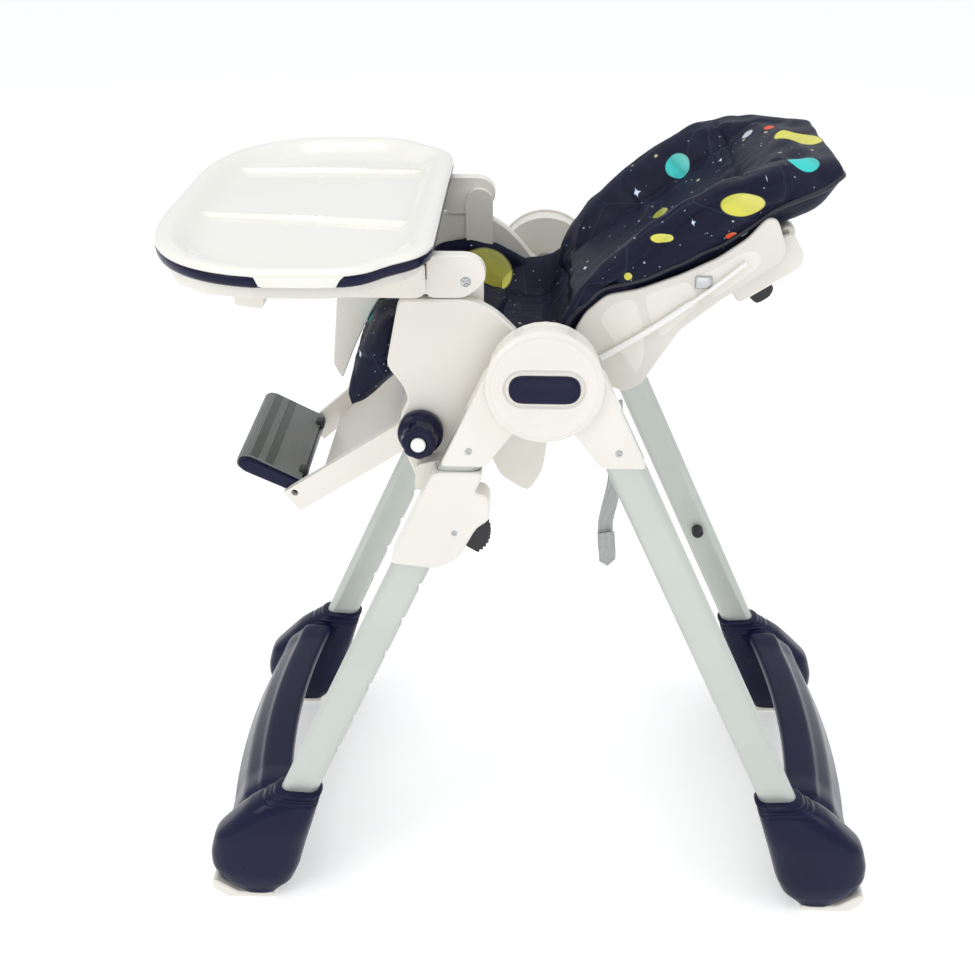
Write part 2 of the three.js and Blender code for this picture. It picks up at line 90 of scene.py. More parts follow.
def soften(values, spread, closed=False):
    """Each point becomes the bell-weighted mean of its neighbours, spread steps wide. An open
    line is first reflected through its ends, so that they stay where they are."""
    reach = max(1, int(3 * spread))
    weight = np.exp(-0.5 * (np.arange(-reach, reach + 1) / spread) ** 2)
    weight /= weight.sum()
    if closed:
        padded = np.concatenate([values[-reach:], values, values[:reach]])
    else:
        ahead = 2 * values[:1] - values[1:reach + 1][::-1]
        behind = 2 * values[-1:] - values[-reach - 1:-1][::-1]
        padded = np.concatenate([ahead, values, behind])
    return np.stack([np.convolve(padded[:, k], weight, "valid") for k in range(values.shape[1])], 1)


def rounded(outline, radius, count=160):
    """A closed outline with its corners rounded by about radius: even points on the straight
    outline, each averaged with its neighbours over half that distance."""
    even = along(outline, count, closed=True)
    step = np.linalg.norm(even[1] - even[0])
    return soften(even, max(0.3, 0.55 * radius / step), closed=True)


def inset(outline, depth):
    """The outline moved inwards by depth along its own normals."""
    ahead = np.roll(outline, -1, axis=0) - np.roll(outline, 1, axis=0)
    ahead /= np.linalg.norm(ahead, axis=1)[:, None]
    area = np.sum(outline[:, 0] * np.roll(outline[:, 1], -1) - np.roll(outline[:, 0], -1) * outline[:, 1])
    inward = np.stack([-ahead[:, 1], ahead[:, 0]], 1) * math.copysign(1, area)
    return outline + inward * depth


def bump(value, centre, width):
    """A bell of height one at centre."""
    return np.exp(-0.5 * ((value - centre) / width) ** 2)


def ramp(value, low, high):
    """Zero below low and one above high, with an S between them."""
    share = np.clip((value - low) / (high - low), 0, 1)
    return share * share * (3 - 2 * share)


def curve(points, softness=0.0):
    """A table of (parameter, values...) rows as a function: values are read off straight lines
    between the rows, then softened."""
    table = np.asarray(points, float)
    steps = np.linspace(table[0, 0], table[-1, 0], CURVE_STEPS)
    values = np.stack([np.interp(steps, table[:, 0], table[:, k]) for k in range(1, table.shape[1])], 1)
    if softness:
        values = soften(values, softness * CURVE_STEPS)
    return lambda at: np.stack([np.interp(at, steps, values[:, k]) for k in range(values.shape[1])], -1)


# ---- Meshes ----------------------------------------------------------------------------------
def grid_faces(rows, columns, wrap=True):
    """Quads between neighbouring rows and columns of a grid numbered row by row."""
    across = columns if wrap else columns - 1
    row, column = np.meshgrid(np.arange(rows - 1), np.arange(across), indexing="ij")
    beside = (column + 1) % columns
    quads = [row * columns + column, row * columns + beside,
             (row + 1) * columns + beside, (row + 1) * columns + column]
    return np.stack(quads, -1).reshape(-1, 4)


def closed_faces(rows, columns):
    """The faces of a stack of rings with a flat face on both ends."""
    return grid_faces(rows, columns).tolist() + [list(range(columns)),
                                                 list(range((rows - 1) * columns, rows * columns))]


def add_piece(name, points, faces, finish, body, replaced=(), crease=40):
    """Puts points, in millimetres, and faces into a mesh object, turns its faces outwards, marks
    edges sharper than crease degrees, and ties it to its body."""
    mesh = bpy.data.meshes.new(name)
    mesh.from_pydata((np.asarray(points, float) * MM).tolist(), [], [list(map(int, f)) for f in faces])
    work = bmesh.new()
    work.from_mesh(mesh)
    bmesh.ops.remove_doubles(work, verts=work.verts, dist=WELD)
    bmesh.ops.dissolve_degenerate(work, edges=work.edges, dist=1e-6)
    bmesh.ops.recalc_face_normals(work, faces=work.faces)
    work.to_mesh(mesh)
    work.free()
    mesh.shade_smooth()
    mesh.set_sharp_from_angle(angle=math.radians(crease))
    piece = bpy.data.objects.new(name, mesh)
    bpy.context.scene.collection.objects.link(piece)
    mesh.materials.append(finish)
    if body:
        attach(piece, body)
    if replaced:
        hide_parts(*replaced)
    return piece


def rings_piece(name, rings, finish, body, replaced=(), slot=None, crease=40):
    """A closed skin over a stack of rings, each with the same number of points, shut by a flat
    face at both ends."""
    rings = np.asarray(rings, float)
    return add_piece(name, rings.reshape(-1, 3), closed_faces(*rings.shape[:2]), finish, body, replaced,
                     crease)


def plate(name, outline, rows, finish, body, side=1, **facts):
    """A moulded plate seen from the side. The outline in (y, z) is repeated once for each row of
    (inset, x), and the first and last rows are shut."""
    rings = []
    for depth, x in rows:
        ring = inset(outline, depth) if depth else outline
        rings.append(np.column_stack([np.full(len(ring), side * x), ring]))
    return rings_piece(name, rings, finish, body, **facts)


def edge_rows(inner, outer, radius, steps=4):
    """Rows of (inset, x) for a plate from inner to outer with its edges rounded by radius."""
    turn = np.linspace(0, math.pi / 2, steps + 1)
    near = [(radius * (1 - math.sin(a)), inner + radius * (1 - math.cos(a))) for a in turn]
    far = [(radius * (1 - math.sin(a)), outer - radius * (1 - math.cos(a))) for a in turn[::-1]]
    return near + far


def lathe_rings(profile, centre, count=72):
    """Rings about an axis along X through centre (y, z), one for each (x, radius) row."""
    turn = np.linspace(0, 2 * math.pi, count, endpoint=False)
    rings = [np.column_stack([np.full(count, x), centre[0] + r * np.cos(turn), centre[1] + r * np.sin(turn)])
             for x, r in profile]
    return np.array(rings)


def carry(path, section, upward):
    """Rings of a section carried along a path. Each ring stands square to the path, with its
    second axis as near as it can be to the direction upward."""
    path = np.asarray(path, float)
    ahead = np.gradient(path, axis=0)
    ahead /= np.linalg.norm(ahead, axis=1)[:, None]
    upward = np.broadcast_to(np.asarray(upward, float), path.shape)
    across = np.cross(ahead, upward)
    across /= np.linalg.norm(across, axis=1)[:, None]
    lift = np.cross(across, ahead)
    section = np.asarray(section, float)
    return path[:, None] + across[:, None] * section[None, :, :1] + lift[:, None] * section[None, :, 1:]


def circle(radius, count):
    """Even points on a circle."""
    turn = np.linspace(0, 2 * math.pi, count, endpoint=False)
    return np.column_stack([radius * np.cos(turn), radius * np.sin(turn)])


def soft_box(low, high, radius, count=32):
    """A block with rounded edges: points of a ball of the given radius, each pushed out to the
    corner of the smaller block that lies in its own direction."""
    low, high = np.asarray(low, float), np.asarray(high, float)
    radius = min(radius, 0.499 * float(np.min(high - low)))
    turn = np.linspace(0, 2 * math.pi, count, endpoint=False)
    rise = np.linspace(-math.pi / 2, math.pi / 2, count // 2 + 1)
    level, around = np.meshgrid(rise, turn, indexing="ij")
    ball = np.stack([np.cos(level) * np.cos(around), np.cos(level) * np.sin(around), np.sin(level)], -1)
    ball[np.abs(ball) < 1e-9] = 0
    return (low + high) / 2 + np.sign(ball) * ((high - low) / 2 - radius) + ball * radius


def soft_box_piece(name, low, high, radius, finish, body, **facts):
    """A block with rounded edges as a piece of its own."""
    return rings_piece(name, soft_box(low, high, radius), finish, body, **facts)


def leg_place(along_leg, forward, end):
    """(y, z) of a point on a leg frame: along_leg down the tube from the hub, and forward of the
    tube's centre line, away from the chair. end is -1 for the front frame and 1 for the rear."""
    outward = HUB_TO_TUBE + forward
    return (end * (math.cos(LEAN) * outward + math.sin(LEAN) * along_leg),
            HUB_HEIGHT + math.sin(LEAN) * outward - math.cos(LEAN) * along_leg)


def back_place(s, t):
    """(y, z) of a point drawn on the back: s up along it from its pivot, t out towards the child."""
    return (BACK_PIVOT[0] + s * math.cos(BACK_SLOPE) - t * math.sin(BACK_SLOPE),
            BACK_PIVOT[1] + s * math.sin(BACK_SLOPE) + t * math.cos(BACK_SLOPE))


# ---- Settings the panel shows ----------------------------------------------------------------
def colour(name, description, default):
    """A colour setting."""
    return bpy.props.FloatVectorProperty(name=name, description=description, default=default,
                                         size=3, min=0, max=1, subtype="COLOR")


def length(name, description, default):
    """A length setting, in metres."""
    return bpy.props.FloatProperty(name=name, description=description, default=default, min=0,
                                   unit="LENGTH", subtype="DISTANCE")


class ChairColours(bpy.types.PropertyGroup):
    """Ground colours of the finishes."""
    cream: colour("Cream", "Frame mouldings, seat sides and back shell", (0.765, 0.740, 0.675))
    navy: colour("Navy", "Feet, cross mouldings, tray rim and foot rest", (0.0060, 0.0070, 0.034))
    tube: colour("Tube", "Powder-coated leg tubes", (0.53, 0.56, 0.52))
    tray: colour("Tray", "Glossy tray insert", (0.79, 0.785, 0.72))
    cloth: colour("Cloth", "Ground colour of the padded cover", (0.0055, 0.0070, 0.024))
    piping: colour("Piping", "Edge of the padded cover", (0.004, 0.004, 0.014))
    webbing: colour("Webbing", "Harness straps", (0.42, 0.44, 0.43))
    yellow: colour("Yellow planets", "Large printed planets", (0.64, 0.62, 0.10))
    teal: colour("Teal planets", "Small printed planets", (0.05, 0.56, 0.53))


class ChairSizes(bpy.types.PropertyGroup):
    """How full and how gathered the padded cover is."""
    piping: length("Piping radius", "Radius of the cord sewn into the cover's edges", 0.0026)
    swell: length("Cushion swell", "Furthest the filling pushes the cover out", 0.009)
    gathers: length("Gathers", "Height of the folds in the cover", 0.0035)


class StageSettings(bpy.types.PropertyGroup):
    """The floor and the lights."""
    floor: length("Floor size", "Width of the floor", 60.0)
    lamp: bpy.props.FloatProperty(name="Light", description="Strength of the soft lights", default=1.0)


def colours():
    return bpy.context.scene.high_chair_colours


def sizes():
    return bpy.context.scene.high_chair_sizes


# ---- Node groups shared by the finishes ------------------------------------------------------
class Wiring:
    """Adds nodes to one tree and joins them: a value given to a socket is either an output socket
    of another node or a plain default."""

    def __init__(self, tree):
        self.tree = tree

    def node(self, kind, settings=(), **sockets):
        made = self.tree.nodes.new(kind)
        for key, value in dict(settings).items():
            setattr(made, key, value)
        for key, value in sockets.items():
            self.feed(made, key, value)
        return made

    def feed(self, made, key, value):
        socket = made.inputs[int(key[1:])] if key[0] == "_" else made.inputs[key.replace("_", " ")]
        if isinstance(value, bpy.types.NodeSocket):
            self.tree.links.new(value, socket)
        else:
            socket.default_value = value

    def math(self, operation, first, second=0.0):
        return self.node("ShaderNodeMath", {"operation": operation}, _0=first, _1=second).outputs[0]

    def vector(self, operation, first, second=(0, 0, 0)):
        made = self.node("ShaderNodeVectorMath", {"operation": operation}, _0=first, _1=second)
        return made.outputs["Value" if operation in ("LENGTH", "DISTANCE", "DOT_PRODUCT") else "Vector"]

    def mix(self, share, first, second, blend="MIX"):
        return self.node("ShaderNodeMix", {"data_type": "RGBA", "blend_type": blend},
                         _0=share, _6=first, _7=second).outputs[2]

    def range(self, value, low, high, new_low, new_high):
        return self.node("ShaderNodeMapRange", _0=value, _1=low, _2=high, _3=new_low, _4=new_high).outputs[0]

    def noise(self, place, scale, detail=2.0):
        return self.node("ShaderNodeTexNoise", Vector=place, Scale=scale, Detail=detail).outputs[0]


def new_group(name, inputs, outputs):
    """An empty shader node group with its sockets: its wiring, input sockets and output node."""
    group = bpy.data.node_groups.new(name, "ShaderNodeTree")
    kinds = {"c": "NodeSocketColor", "f": "NodeSocketFloat", "v": "NodeSocketVector"}
    for label, kind, default in inputs:
        socket = group.interface.new_socket(label, in_out="INPUT", socket_type=kinds[kind])
        socket.default_value = default
    for label, kind in outputs:
        group.interface.new_socket(label, in_out="OUTPUT", socket_type=kinds[kind])
    wiring = Wiring(group)
    return wiring, wiring.node("NodeGroupInput").outputs, wiring.node("NodeGroupOutput")


def make_moulded_grain():
    """Moulded or painted surface: cloudy tone, fine grain as height, dulled patches."""
    w, given, out = new_group(
        "moulded grain",
        [("Colour", "c", (0.8, 0.8, 0.8, 1)), ("Tone", "f", 0.04), ("Polish", "f", 0.35),
         ("Patches", "f", 0.06), ("Grain", "f", 900.0)],
        [("Colour", "c"), ("Roughness", "f"), ("Height", "f")])
    place = w.node("ShaderNodeTexCoord").outputs["Object"]
    cloud = w.noise(place, 9.0, 3.0)
    fine = w.noise(place, given["Grain"], 1.0)
    smear = w.noise(place, 38.0, 4.0)
    darker = w.vector("SCALE", given["Colour"])
    w.tree.links.new(w.math("SUBTRACT", 1.0, given["Tone"]), darker.node.inputs["Scale"])
    w.feed(out, "_0", w.mix(w.range(cloud, 0.35, 0.65, 0.0, 1.0), given["Colour"], darker))
    w.feed(out, "_1", w.math("ADD", given["Polish"], w.math("MULTIPLY", given["Patches"], smear)))
    w.feed(out, "_2", fine)


def make_weave():
    """Plain woven cloth in three directions of space, so that it needs no flat map: crossed
    stripes give the threads' height, and slow noise fades the colour as wear does."""
    w, given, out = new_group(
        "plain weave",
        [("Colour", "c", (0.1, 0.1, 0.1, 1)), ("Place", "v", (0, 0, 0)), ("Threads", "f", 2600.0),
         ("Fade", "f", 0.25), ("Polish", "f", 0.5)],
        [("Colour", "c"), ("Roughness", "f"), ("Height", "f")])
    split = w.node("ShaderNodeSeparateXYZ", Vector=given["Place"]).outputs
    lines = [w.math("SINE", w.math("MULTIPLY", axis, given["Threads"])) for axis in split]
    height = w.math("ADD", w.math("MULTIPLY", lines[0], lines[1]), w.math("MULTIPLY", lines[2], lines[0]))
    slow = w.noise(given["Place"], 14.0, 3.0)
    lighter = w.mix(0.22, given["Colour"], (0.25, 0.26, 0.32, 1))
    share = w.math("MULTIPLY", w.range(slow, 0.4, 0.75, 0.0, 1.0), given["Fade"])
    w.feed(out, "_0", w.mix(share, given["Colour"], lighter))
    w.feed(out, "_1", w.math("ADD", given["Polish"], w.math("MULTIPLY", slow, 0.12)))
    w.feed(out, "_2", height)


def make_planet():
    """A printed disc: the cloth within Radius of Centre takes the Tint, darker in bands across
    it by the share Bands, and paler towards one edge."""
    w, given, out = new_group(
        "printed planet",
        [("Under", "c", (0, 0, 0, 1)), ("Place", "v", (0, 0, 0)), ("Centre", "v", (0, 0, 0)),
         ("Radius", "f", 0.02), ("Tint", "c", (1, 1, 0, 1)), ("Bands", "f", 0.2), ("Squash", "v", (1, 1, 1))],
        [("Colour", "c")])
    away = w.vector("SUBTRACT", given["Place"], given["Centre"])
    reach = w.vector("LENGTH", w.vector("MULTIPLY", away, given["Squash"]))
    inside = w.range(w.math("DIVIDE", reach, given["Radius"]), 0.95, 1.03, 1.0, 0.0)
    tilted = w.math("DIVIDE", w.vector("DOT_PRODUCT", away, (0.25, 0.45, 0.85)), given["Radius"])
    rough = w.noise(given["Place"], 60.0, 2.0)
    bands = w.math("SINE", w.math("ADD", w.math("MULTIPLY", tilted, 7.0), w.math("MULTIPLY", rough, 3.0)))
    dark = w.mix(0.45, given["Tint"], (0.02, 0.05, 0.05, 1))
    darkened = w.math("MULTIPLY", w.range(bands, -0.2, 0.9, 0.0, 1.0), given["Bands"])
    banded = w.mix(darkened, given["Tint"], dark)
    pale = w.mix(0.35, banded, (0.9, 0.9, 0.7, 1))
    lit = w.mix(w.range(tilted, -0.2, 1.2, 0.0, 0.6), banded, pale)
    w.feed(out, "_0", w.mix(inside, given["Under"], lit))


def make_sparkle():
    """A printed four-pointed star: cloth is pale where the roots of its distances along and across
    the star's own axis add up to less than the root of Reach."""
    w, given, out = new_group(
        "printed sparkle",
        [("Under", "c", (0, 0, 0, 1)), ("Place", "v", (0, 0, 0)), ("Centre", "v", (0, 0, 0)),
         ("Reach", "f", 0.008)],
        [("Colour", "c")])
    away = w.vector("SUBTRACT", given["Place"], given["Centre"])
    length_now = w.vector("LENGTH", away)
    first = w.math("ABSOLUTE", w.vector("DOT_PRODUCT", away, (0.0, 0.94, 0.34)))
    square = w.math("SUBTRACT", w.math("MULTIPLY", length_now, length_now), w.math("MULTIPLY", first, first))
    second = w.math("SQRT", w.math("MAXIMUM", square, 0.0))
    total = w.math("ADD", w.math("SQRT", first), w.math("SQRT", second))
    share = w.math("DIVIDE", total, w.math("SQRT", given["Reach"]))
    w.feed(out, "_0", w.mix(w.range(share, 0.9, 1.08, 1.0, 0.0), given["Under"], (0.62, 0.74, 0.92, 1)))


def make_star_field():
    """Scattered printed stars: cells of space hold one point each, and cloth close enough to a
    point is pale. Three cell sizes give dots and specks, and faint threads run between cells."""
    w, given, out = new_group(
        "printed stars", [("Under", "c", (0, 0, 0, 1)), ("Place", "v", (0, 0, 0))], [("Colour", "c")])

    def cells(scale, feature="F1"):
        made = w.node("ShaderNodeTexVoronoi", {"feature": feature}, Vector=given["Place"], Scale=scale)
        return made.outputs["Distance"]

    colour_now = w.mix(w.range(cells(9.0, "DISTANCE_TO_EDGE"), 0.0, 0.010, 0.035, 0.0), given["Under"],
                       (0.35, 0.45, 0.65, 1))
    for scale, size, tint in ((48.0, 0.075, (0.75, 0.8, 0.9, 1)), (85.0, 0.09, (0.5, 0.62, 0.85, 1)),
                              (27.0, 0.075, (0.8, 0.72, 0.4, 1))):
        colour_now = w.mix(w.range(cells(scale), size * 0.5, size, 0.6, 0.0), colour_now, tint)
    w.feed(out, "_0", colour_now)


def new_finish(name, **sockets):
    """A material with a Principled surface whose plain values are set straight on its sockets."""
    finish = bpy.data.materials.new(name)
    finish.use_nodes = True
    w = Wiring(finish.node_tree)
    surface = finish.node_tree.nodes["Principled BSDF"]
    for key, value in sockets.items():
        surface.inputs[key.replace("_", " ")].default_value = value
    return finish, w, surface


def add_bump(w, surface, height, strength, distance=0.001):
    """Raises the surface by height, distance being what a height of one stands for."""
    made = w.node("ShaderNodeBump", Strength=strength, Distance=distance, Height=height)
    w.tree.links.new(made.outputs[0], surface.inputs["Normal"])


def moulded(name, tint, polish, tone=0.04, patches=0.06, grain=900.0, bumpiness=0.05, **sockets):
    """A moulded, painted or metal finish."""
    finish, w, surface = new_finish(name, **sockets)
    made = w.node("ShaderNodeGroup", {"node_tree": bpy.data.node_groups["moulded grain"]},
                  Colour=(*tint, 1), Tone=tone, Polish=polish, Patches=patches, Grain=grain)
    w.tree.links.new(made.outputs["Colour"], surface.inputs["Base Color"])
    w.tree.links.new(made.outputs["Roughness"], surface.inputs["Roughness"])
    add_bump(w, surface, made.outputs["Height"], bumpiness)
    return finish


def rest_place(w):
    """Where a point of the cover lay before anything moved, so that the print stays on it."""
    return w.node("ShaderNodeAttribute", {"attribute_name": "rest_place"}).outputs["Vector"]


def woven(name, tint, polish=0.5, threads=2600.0, fade=0.25, bumpiness=0.25, discs=(), stars=False,
          place=None, **sockets):
    """A woven finish, with the print on it where discs or stars are asked for. place names the
    coordinates of a piece that keeps no note of where it lay at rest."""
    finish, w, surface = new_finish(name, **sockets)
    where = rest_place(w) if place is None else w.node("ShaderNodeTexCoord").outputs[place]
    made = w.node("ShaderNodeGroup", {"node_tree": bpy.data.node_groups["plain weave"]},
                  Colour=(*tint, 1), Place=where, Threads=threads, Fade=fade, Polish=polish)
    shade = made.outputs["Colour"]
    if stars:
        shade = w.node("ShaderNodeGroup", {"node_tree": bpy.data.node_groups["printed stars"]},
                       Under=shade, Place=where).outputs[0]
    for centre, radius, disc_tint, bands, flattened in discs:
        shade = w.node("ShaderNodeGroup", {"node_tree": bpy.data.node_groups["printed planet"]},
                       Under=shade, Place=where, Centre=centre, Radius=radius,
                       Tint=(*disc_tint, 1), Bands=bands,
                       Squash=(1, 1, flattened)).outputs[0]
    for centre, reach in SPARKLES if stars else ():
        shade = w.node("ShaderNodeGroup", {"node_tree": bpy.data.node_groups["printed sparkle"]},
                       Under=shade, Place=where, Centre=centre, Reach=reach).outputs[0]
    w.tree.links.new(shade, surface.inputs["Base Color"])
    w.tree.links.new(made.outputs["Roughness"], surface.inputs["Roughness"])
    add_bump(w, surface, made.outputs["Height"], bumpiness, 0.0004)
    return finish


ORANGE, CHALK, OLIVE = (0.70, 0.085, 0.028), (0.48, 0.53, 0.55), (0.30, 0.34, 0.035)


def planets():
    """The cover's printed discs: centre on the cloth, radius, tint, how banded and how flattened."""
    yellow, teal = tuple(colours().yellow), tuple(colours().teal)
    return (
        ((-0.1013, 0.1553, 0.8442), 0.0152, teal, 0.45, 1.0),
        ((-0.0454, 0.1323, 0.8028), 0.0100, OLIVE, 0.30, 1.0),
        ((0.1480, 0.1190, 0.8310), 0.0120, yellow, 0.10, 2.4),
        ((0.1454, 0.0859, 0.7877), 0.0045, yellow, 0.0, 1.0),
        ((0.1485, 0.2000, 0.8665), 0.0230, yellow, 0.12, 1.9),
        ((0.1393, 0.1933, 0.8301), 0.0078, ORANGE, 0.15, 1.7),
        ((0.1353, 0.2060, 0.8310), 0.0052, CHALK, 0.2, 1.0),
        ((0.1079, 0.2652, 0.9065), 0.0175, teal, 0.40, 1.0),
        ((0.0, 0.2760, 0.9069), 0.0270, yellow, 0.12, 1.0),
        ((-0.0512, 0.2492, 0.9076), 0.0090, ORANGE, 0.2, 1.0),
        ((-0.0656, 0.2261, 0.8940), 0.0085, CHALK, 0.25, 1.0),
        ((-0.1390, -0.0775, 0.6935), 0.0370, yellow, 0.30, 1.0),
        ((0.02, -0.196, 0.700), 0.0170, teal, 0.40, 1.0),
        ((-0.060, -0.214, 0.655), 0.0120, yellow, 0.15, 1.0),
        ((-0.1480, 0.1400, 0.8250), 0.0150, ORANGE, 0.25, 1.0),
        ((-0.1480, 0.2050, 0.8600), 0.0120, yellow, 0.12, 1.0),
        ((0.030, 0.150, 0.795), 0.0160, ORANGE, 0.30, 1.0),
        ((-0.070, -0.090, 0.700), 0.0130, teal, 0.30, 1.0),
        ((0.060, -0.120, 0.705), 0.0180, yellow, 0.15, 1.0),
    )


SPARKLES = (  # centre on the cloth, reach
    ((-0.1004, 0.1076, 0.8122), 0.0080),
    ((0.1466, 0.2219, 0.8942), 0.0090),
    ((-0.009, 0.0457, 0.7471), 0.0060),
    ((0.1485, 0.1500, 0.8480), 0.0050),
    ((-0.060, 0.200, 0.862), 0.0065),
    ((0.080, -0.210, 0.672), 0.0070),
)


# ---- Finishes --------------------------------------------------------------------------------
FINISHES = {}


class HIGHCHAIR_OT_finishes(bpy.types.Operator):
    """Builds the shared node groups and every finish, and gives the frame's own nodes theirs."""
    bl_idname = "high_chair.finishes"
    bl_label = "Finishes"

    def execute(self, context):
        tint = colours()
        make_moulded_grain()
        make_weave()
        make_planet()
        make_sparkle()
        make_star_field()
        FINISHES.update(
            cream_plastic=moulded("cream plastic", tint.cream, 0.33, tone=0.05, Coat_Weight=0.15,
                                  Coat_Roughness=0.25),
            shell_plastic=moulded("shell plastic", [c * 0.93 for c in tint.cream], 0.42, tone=0.08),
            navy_plastic=moulded("navy plastic", tint.navy, 0.16, tone=0.2, patches=0.16, grain=700.0,
                                 bumpiness=0.04, Coat_Weight=0.07, Coat_Roughness=0.12,
                                 Specular_IOR_Level=0.17),
            silver_tube=moulded("silver paint", tint.tube, 0.36, tone=0.06, grain=1800.0, bumpiness=0.10,
                                Metallic=0.45),
            tray_plastic=moulded("tray plastic", tint.tray, 0.10, tone=0.02, patches=0.05, bumpiness=0.015,
                                 Coat_Weight=0.6, Coat_Roughness=0.06),
            black_plastic=moulded("black plastic", (0.012, 0.012, 0.015), 0.42, tone=0.2),
            white_plastic=moulded("white plastic", (0.82, 0.82, 0.79), 0.36, tone=0.03),
            # Painted reflection: this grey stands for the bright surroundings mirrored in the foot rest's
            # glossy navy top, made light enough to hold against the shadow under the tray.
            tread=moulded("tread with painted reflection", (0.195, 0.205, 0.200), 0.36, tone=0.15, bumpiness=0.2),
            # Painted shade: this darker grey stands for two recessed bands across the foot rest's top.
            dark_tread=moulded("tread with painted shade", (0.085, 0.095, 0.088), 0.4, tone=0.1, bumpiness=0.15),
            grey_plastic=moulded("grey plastic", (0.24, 0.25, 0.25), 0.45, tone=0.1),
            steel=moulded("bright steel", (0.55, 0.56, 0.57), 0.22, tone=0.1, Metallic=1.0),
            seat_fabric=woven("padded cover", tint.cloth, polish=0.40, threads=3000.0, fade=0.10,
                              bumpiness=0.18, discs=planets(), stars=True, Sheen_Weight=0.012,
                              Sheen_Roughness=0.4, Specular_IOR_Level=0.14),
            piping=woven("cover piping", tint.piping, polish=0.38, threads=3400.0, fade=0.15, place="Object"),
            grey_webbing=woven("webbing", tint.webbing, polish=0.75, threads=2600.0, fade=0.15, bumpiness=0.7,
                               place="Object"),
        )
        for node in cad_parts.values():
            wanted = node.data.materials[0].name.split(".")[0]
            node.data.materials[0] = FINISHES[wanted]
        return {"FINISHED"}


# ---- Stage -----------------------------------------------------------------------------------
class HIGHCHAIR_OT_stage(bpy.types.Operator):
    """Adds the pale floor, the soft lights and the camera."""
    bl_idname = "high_chair.stage"
    bl_label = "Stage and camera"

    def execute(self, context):
        settings = context.scene.high_chair_stage
        half = settings.floor / 2
        finish, w, surface = new_finish("floor", Roughness=0.9, Emission_Color=(1, 1, 1, 1),
                                        Emission_Strength=0.30, Specular_IOR_Level=0.1)
        place = w.node("ShaderNodeTexCoord").outputs["Object"]
        w.tree.links.new(w.mix(w.noise(place, 0.4), (0.86, 0.86, 0.855, 1), (0.88, 0.88, 0.875, 1)),
                         surface.inputs["Base Color"])
        mesh = bpy.data.meshes.new("floor")
        corners = [(-half, -half, 0), (half, -half, 0), (half, half, 0), (-half, half, 0)]
        mesh.from_pydata(corners, [], [(0, 1, 2, 3)])
        mesh.materials.append(finish)
        floor = bpy.data.objects.new("floor", mesh)
        context.scene.collection.objects.link(floor)

        world = bpy.data.worlds.new("studio")
        world.use_nodes = True
        sky = world.node_tree.nodes["Background"]
        sky.inputs["Color"].default_value = (0.95, 0.97, 1.0, 1)
        sky.inputs["Strength"].default_value = 0.80 * settings.lamp
        context.scene.world = world
        context.scene.view_settings.view_transform = "Standard"

        for name, place, target, size, power, tint in (
                ("lamp over", (0.3, -0.4, 3.4), (0, 0, 0.4), 2.6, 30, (1, 0.985, 0.96)),
                ("lamp front", (2.2, -2.6, 2.3), (0, 0, 0.55), 1.8, 25, (1, 0.98, 0.95)),
                ("lamp rear", (0.8, 3.0, 2.2), (0, 0.1, 0.6), 1.8, 16, (0.95, 0.975, 1)),
                ("lamp low", (3.2, 0.3, 0.9), (0, 0, 0.35), 1.6, 8, (1, 1, 1))):
            lamp = bpy.data.lights.new(name, "AREA")
            lamp.size = size
            lamp.energy = power * settings.lamp
            lamp.color = tint
            holder = bpy.data.objects.new(name, lamp)
            context.scene.collection.objects.link(holder)
            holder.matrix_world = facing(place, np.subtract(target, place))

        camera = bpy.data.cameras.new("camera")
        camera.sensor_width = 36
        camera.lens = 52.32
        camera.clip_end = 100
        holder = bpy.data.objects.new("camera", camera)
        context.scene.collection.objects.link(holder)
        pitch, yaw = 0.467, 0.038
        ahead = (-math.cos(pitch) * math.cos(yaw), -math.cos(pitch) * math.sin(yaw), -math.sin(pitch))
        holder.matrix_world = facing((1.5811, -0.0078, 1.2614), ahead, roll=-0.0016)
        context.scene.camera = holder
        return {"FINISHED"}


def facing(place, ahead, roll=0.0):
    """The matrix of a camera or lamp at place that looks along ahead, turned by roll about it."""
    ahead = np.asarray(ahead, float) / np.linalg.norm(ahead)
    right = np.cross(ahead, (0, 0, 1) if abs(ahead[2]) < 0.999 else (0, 1, 0))
    right /= np.linalg.norm(right)
    upward = np.cross(right, ahead)
    turned = right * math.cos(roll) + upward * math.sin(roll)
    raised = upward * math.cos(roll) - right * math.sin(roll)
    matrix = np.eye(4)
    matrix[:3, 0], matrix[:3, 1], matrix[:3, 2], matrix[:3, 3] = turned, raised, -ahead, place
    return Matrix(matrix.tolist())


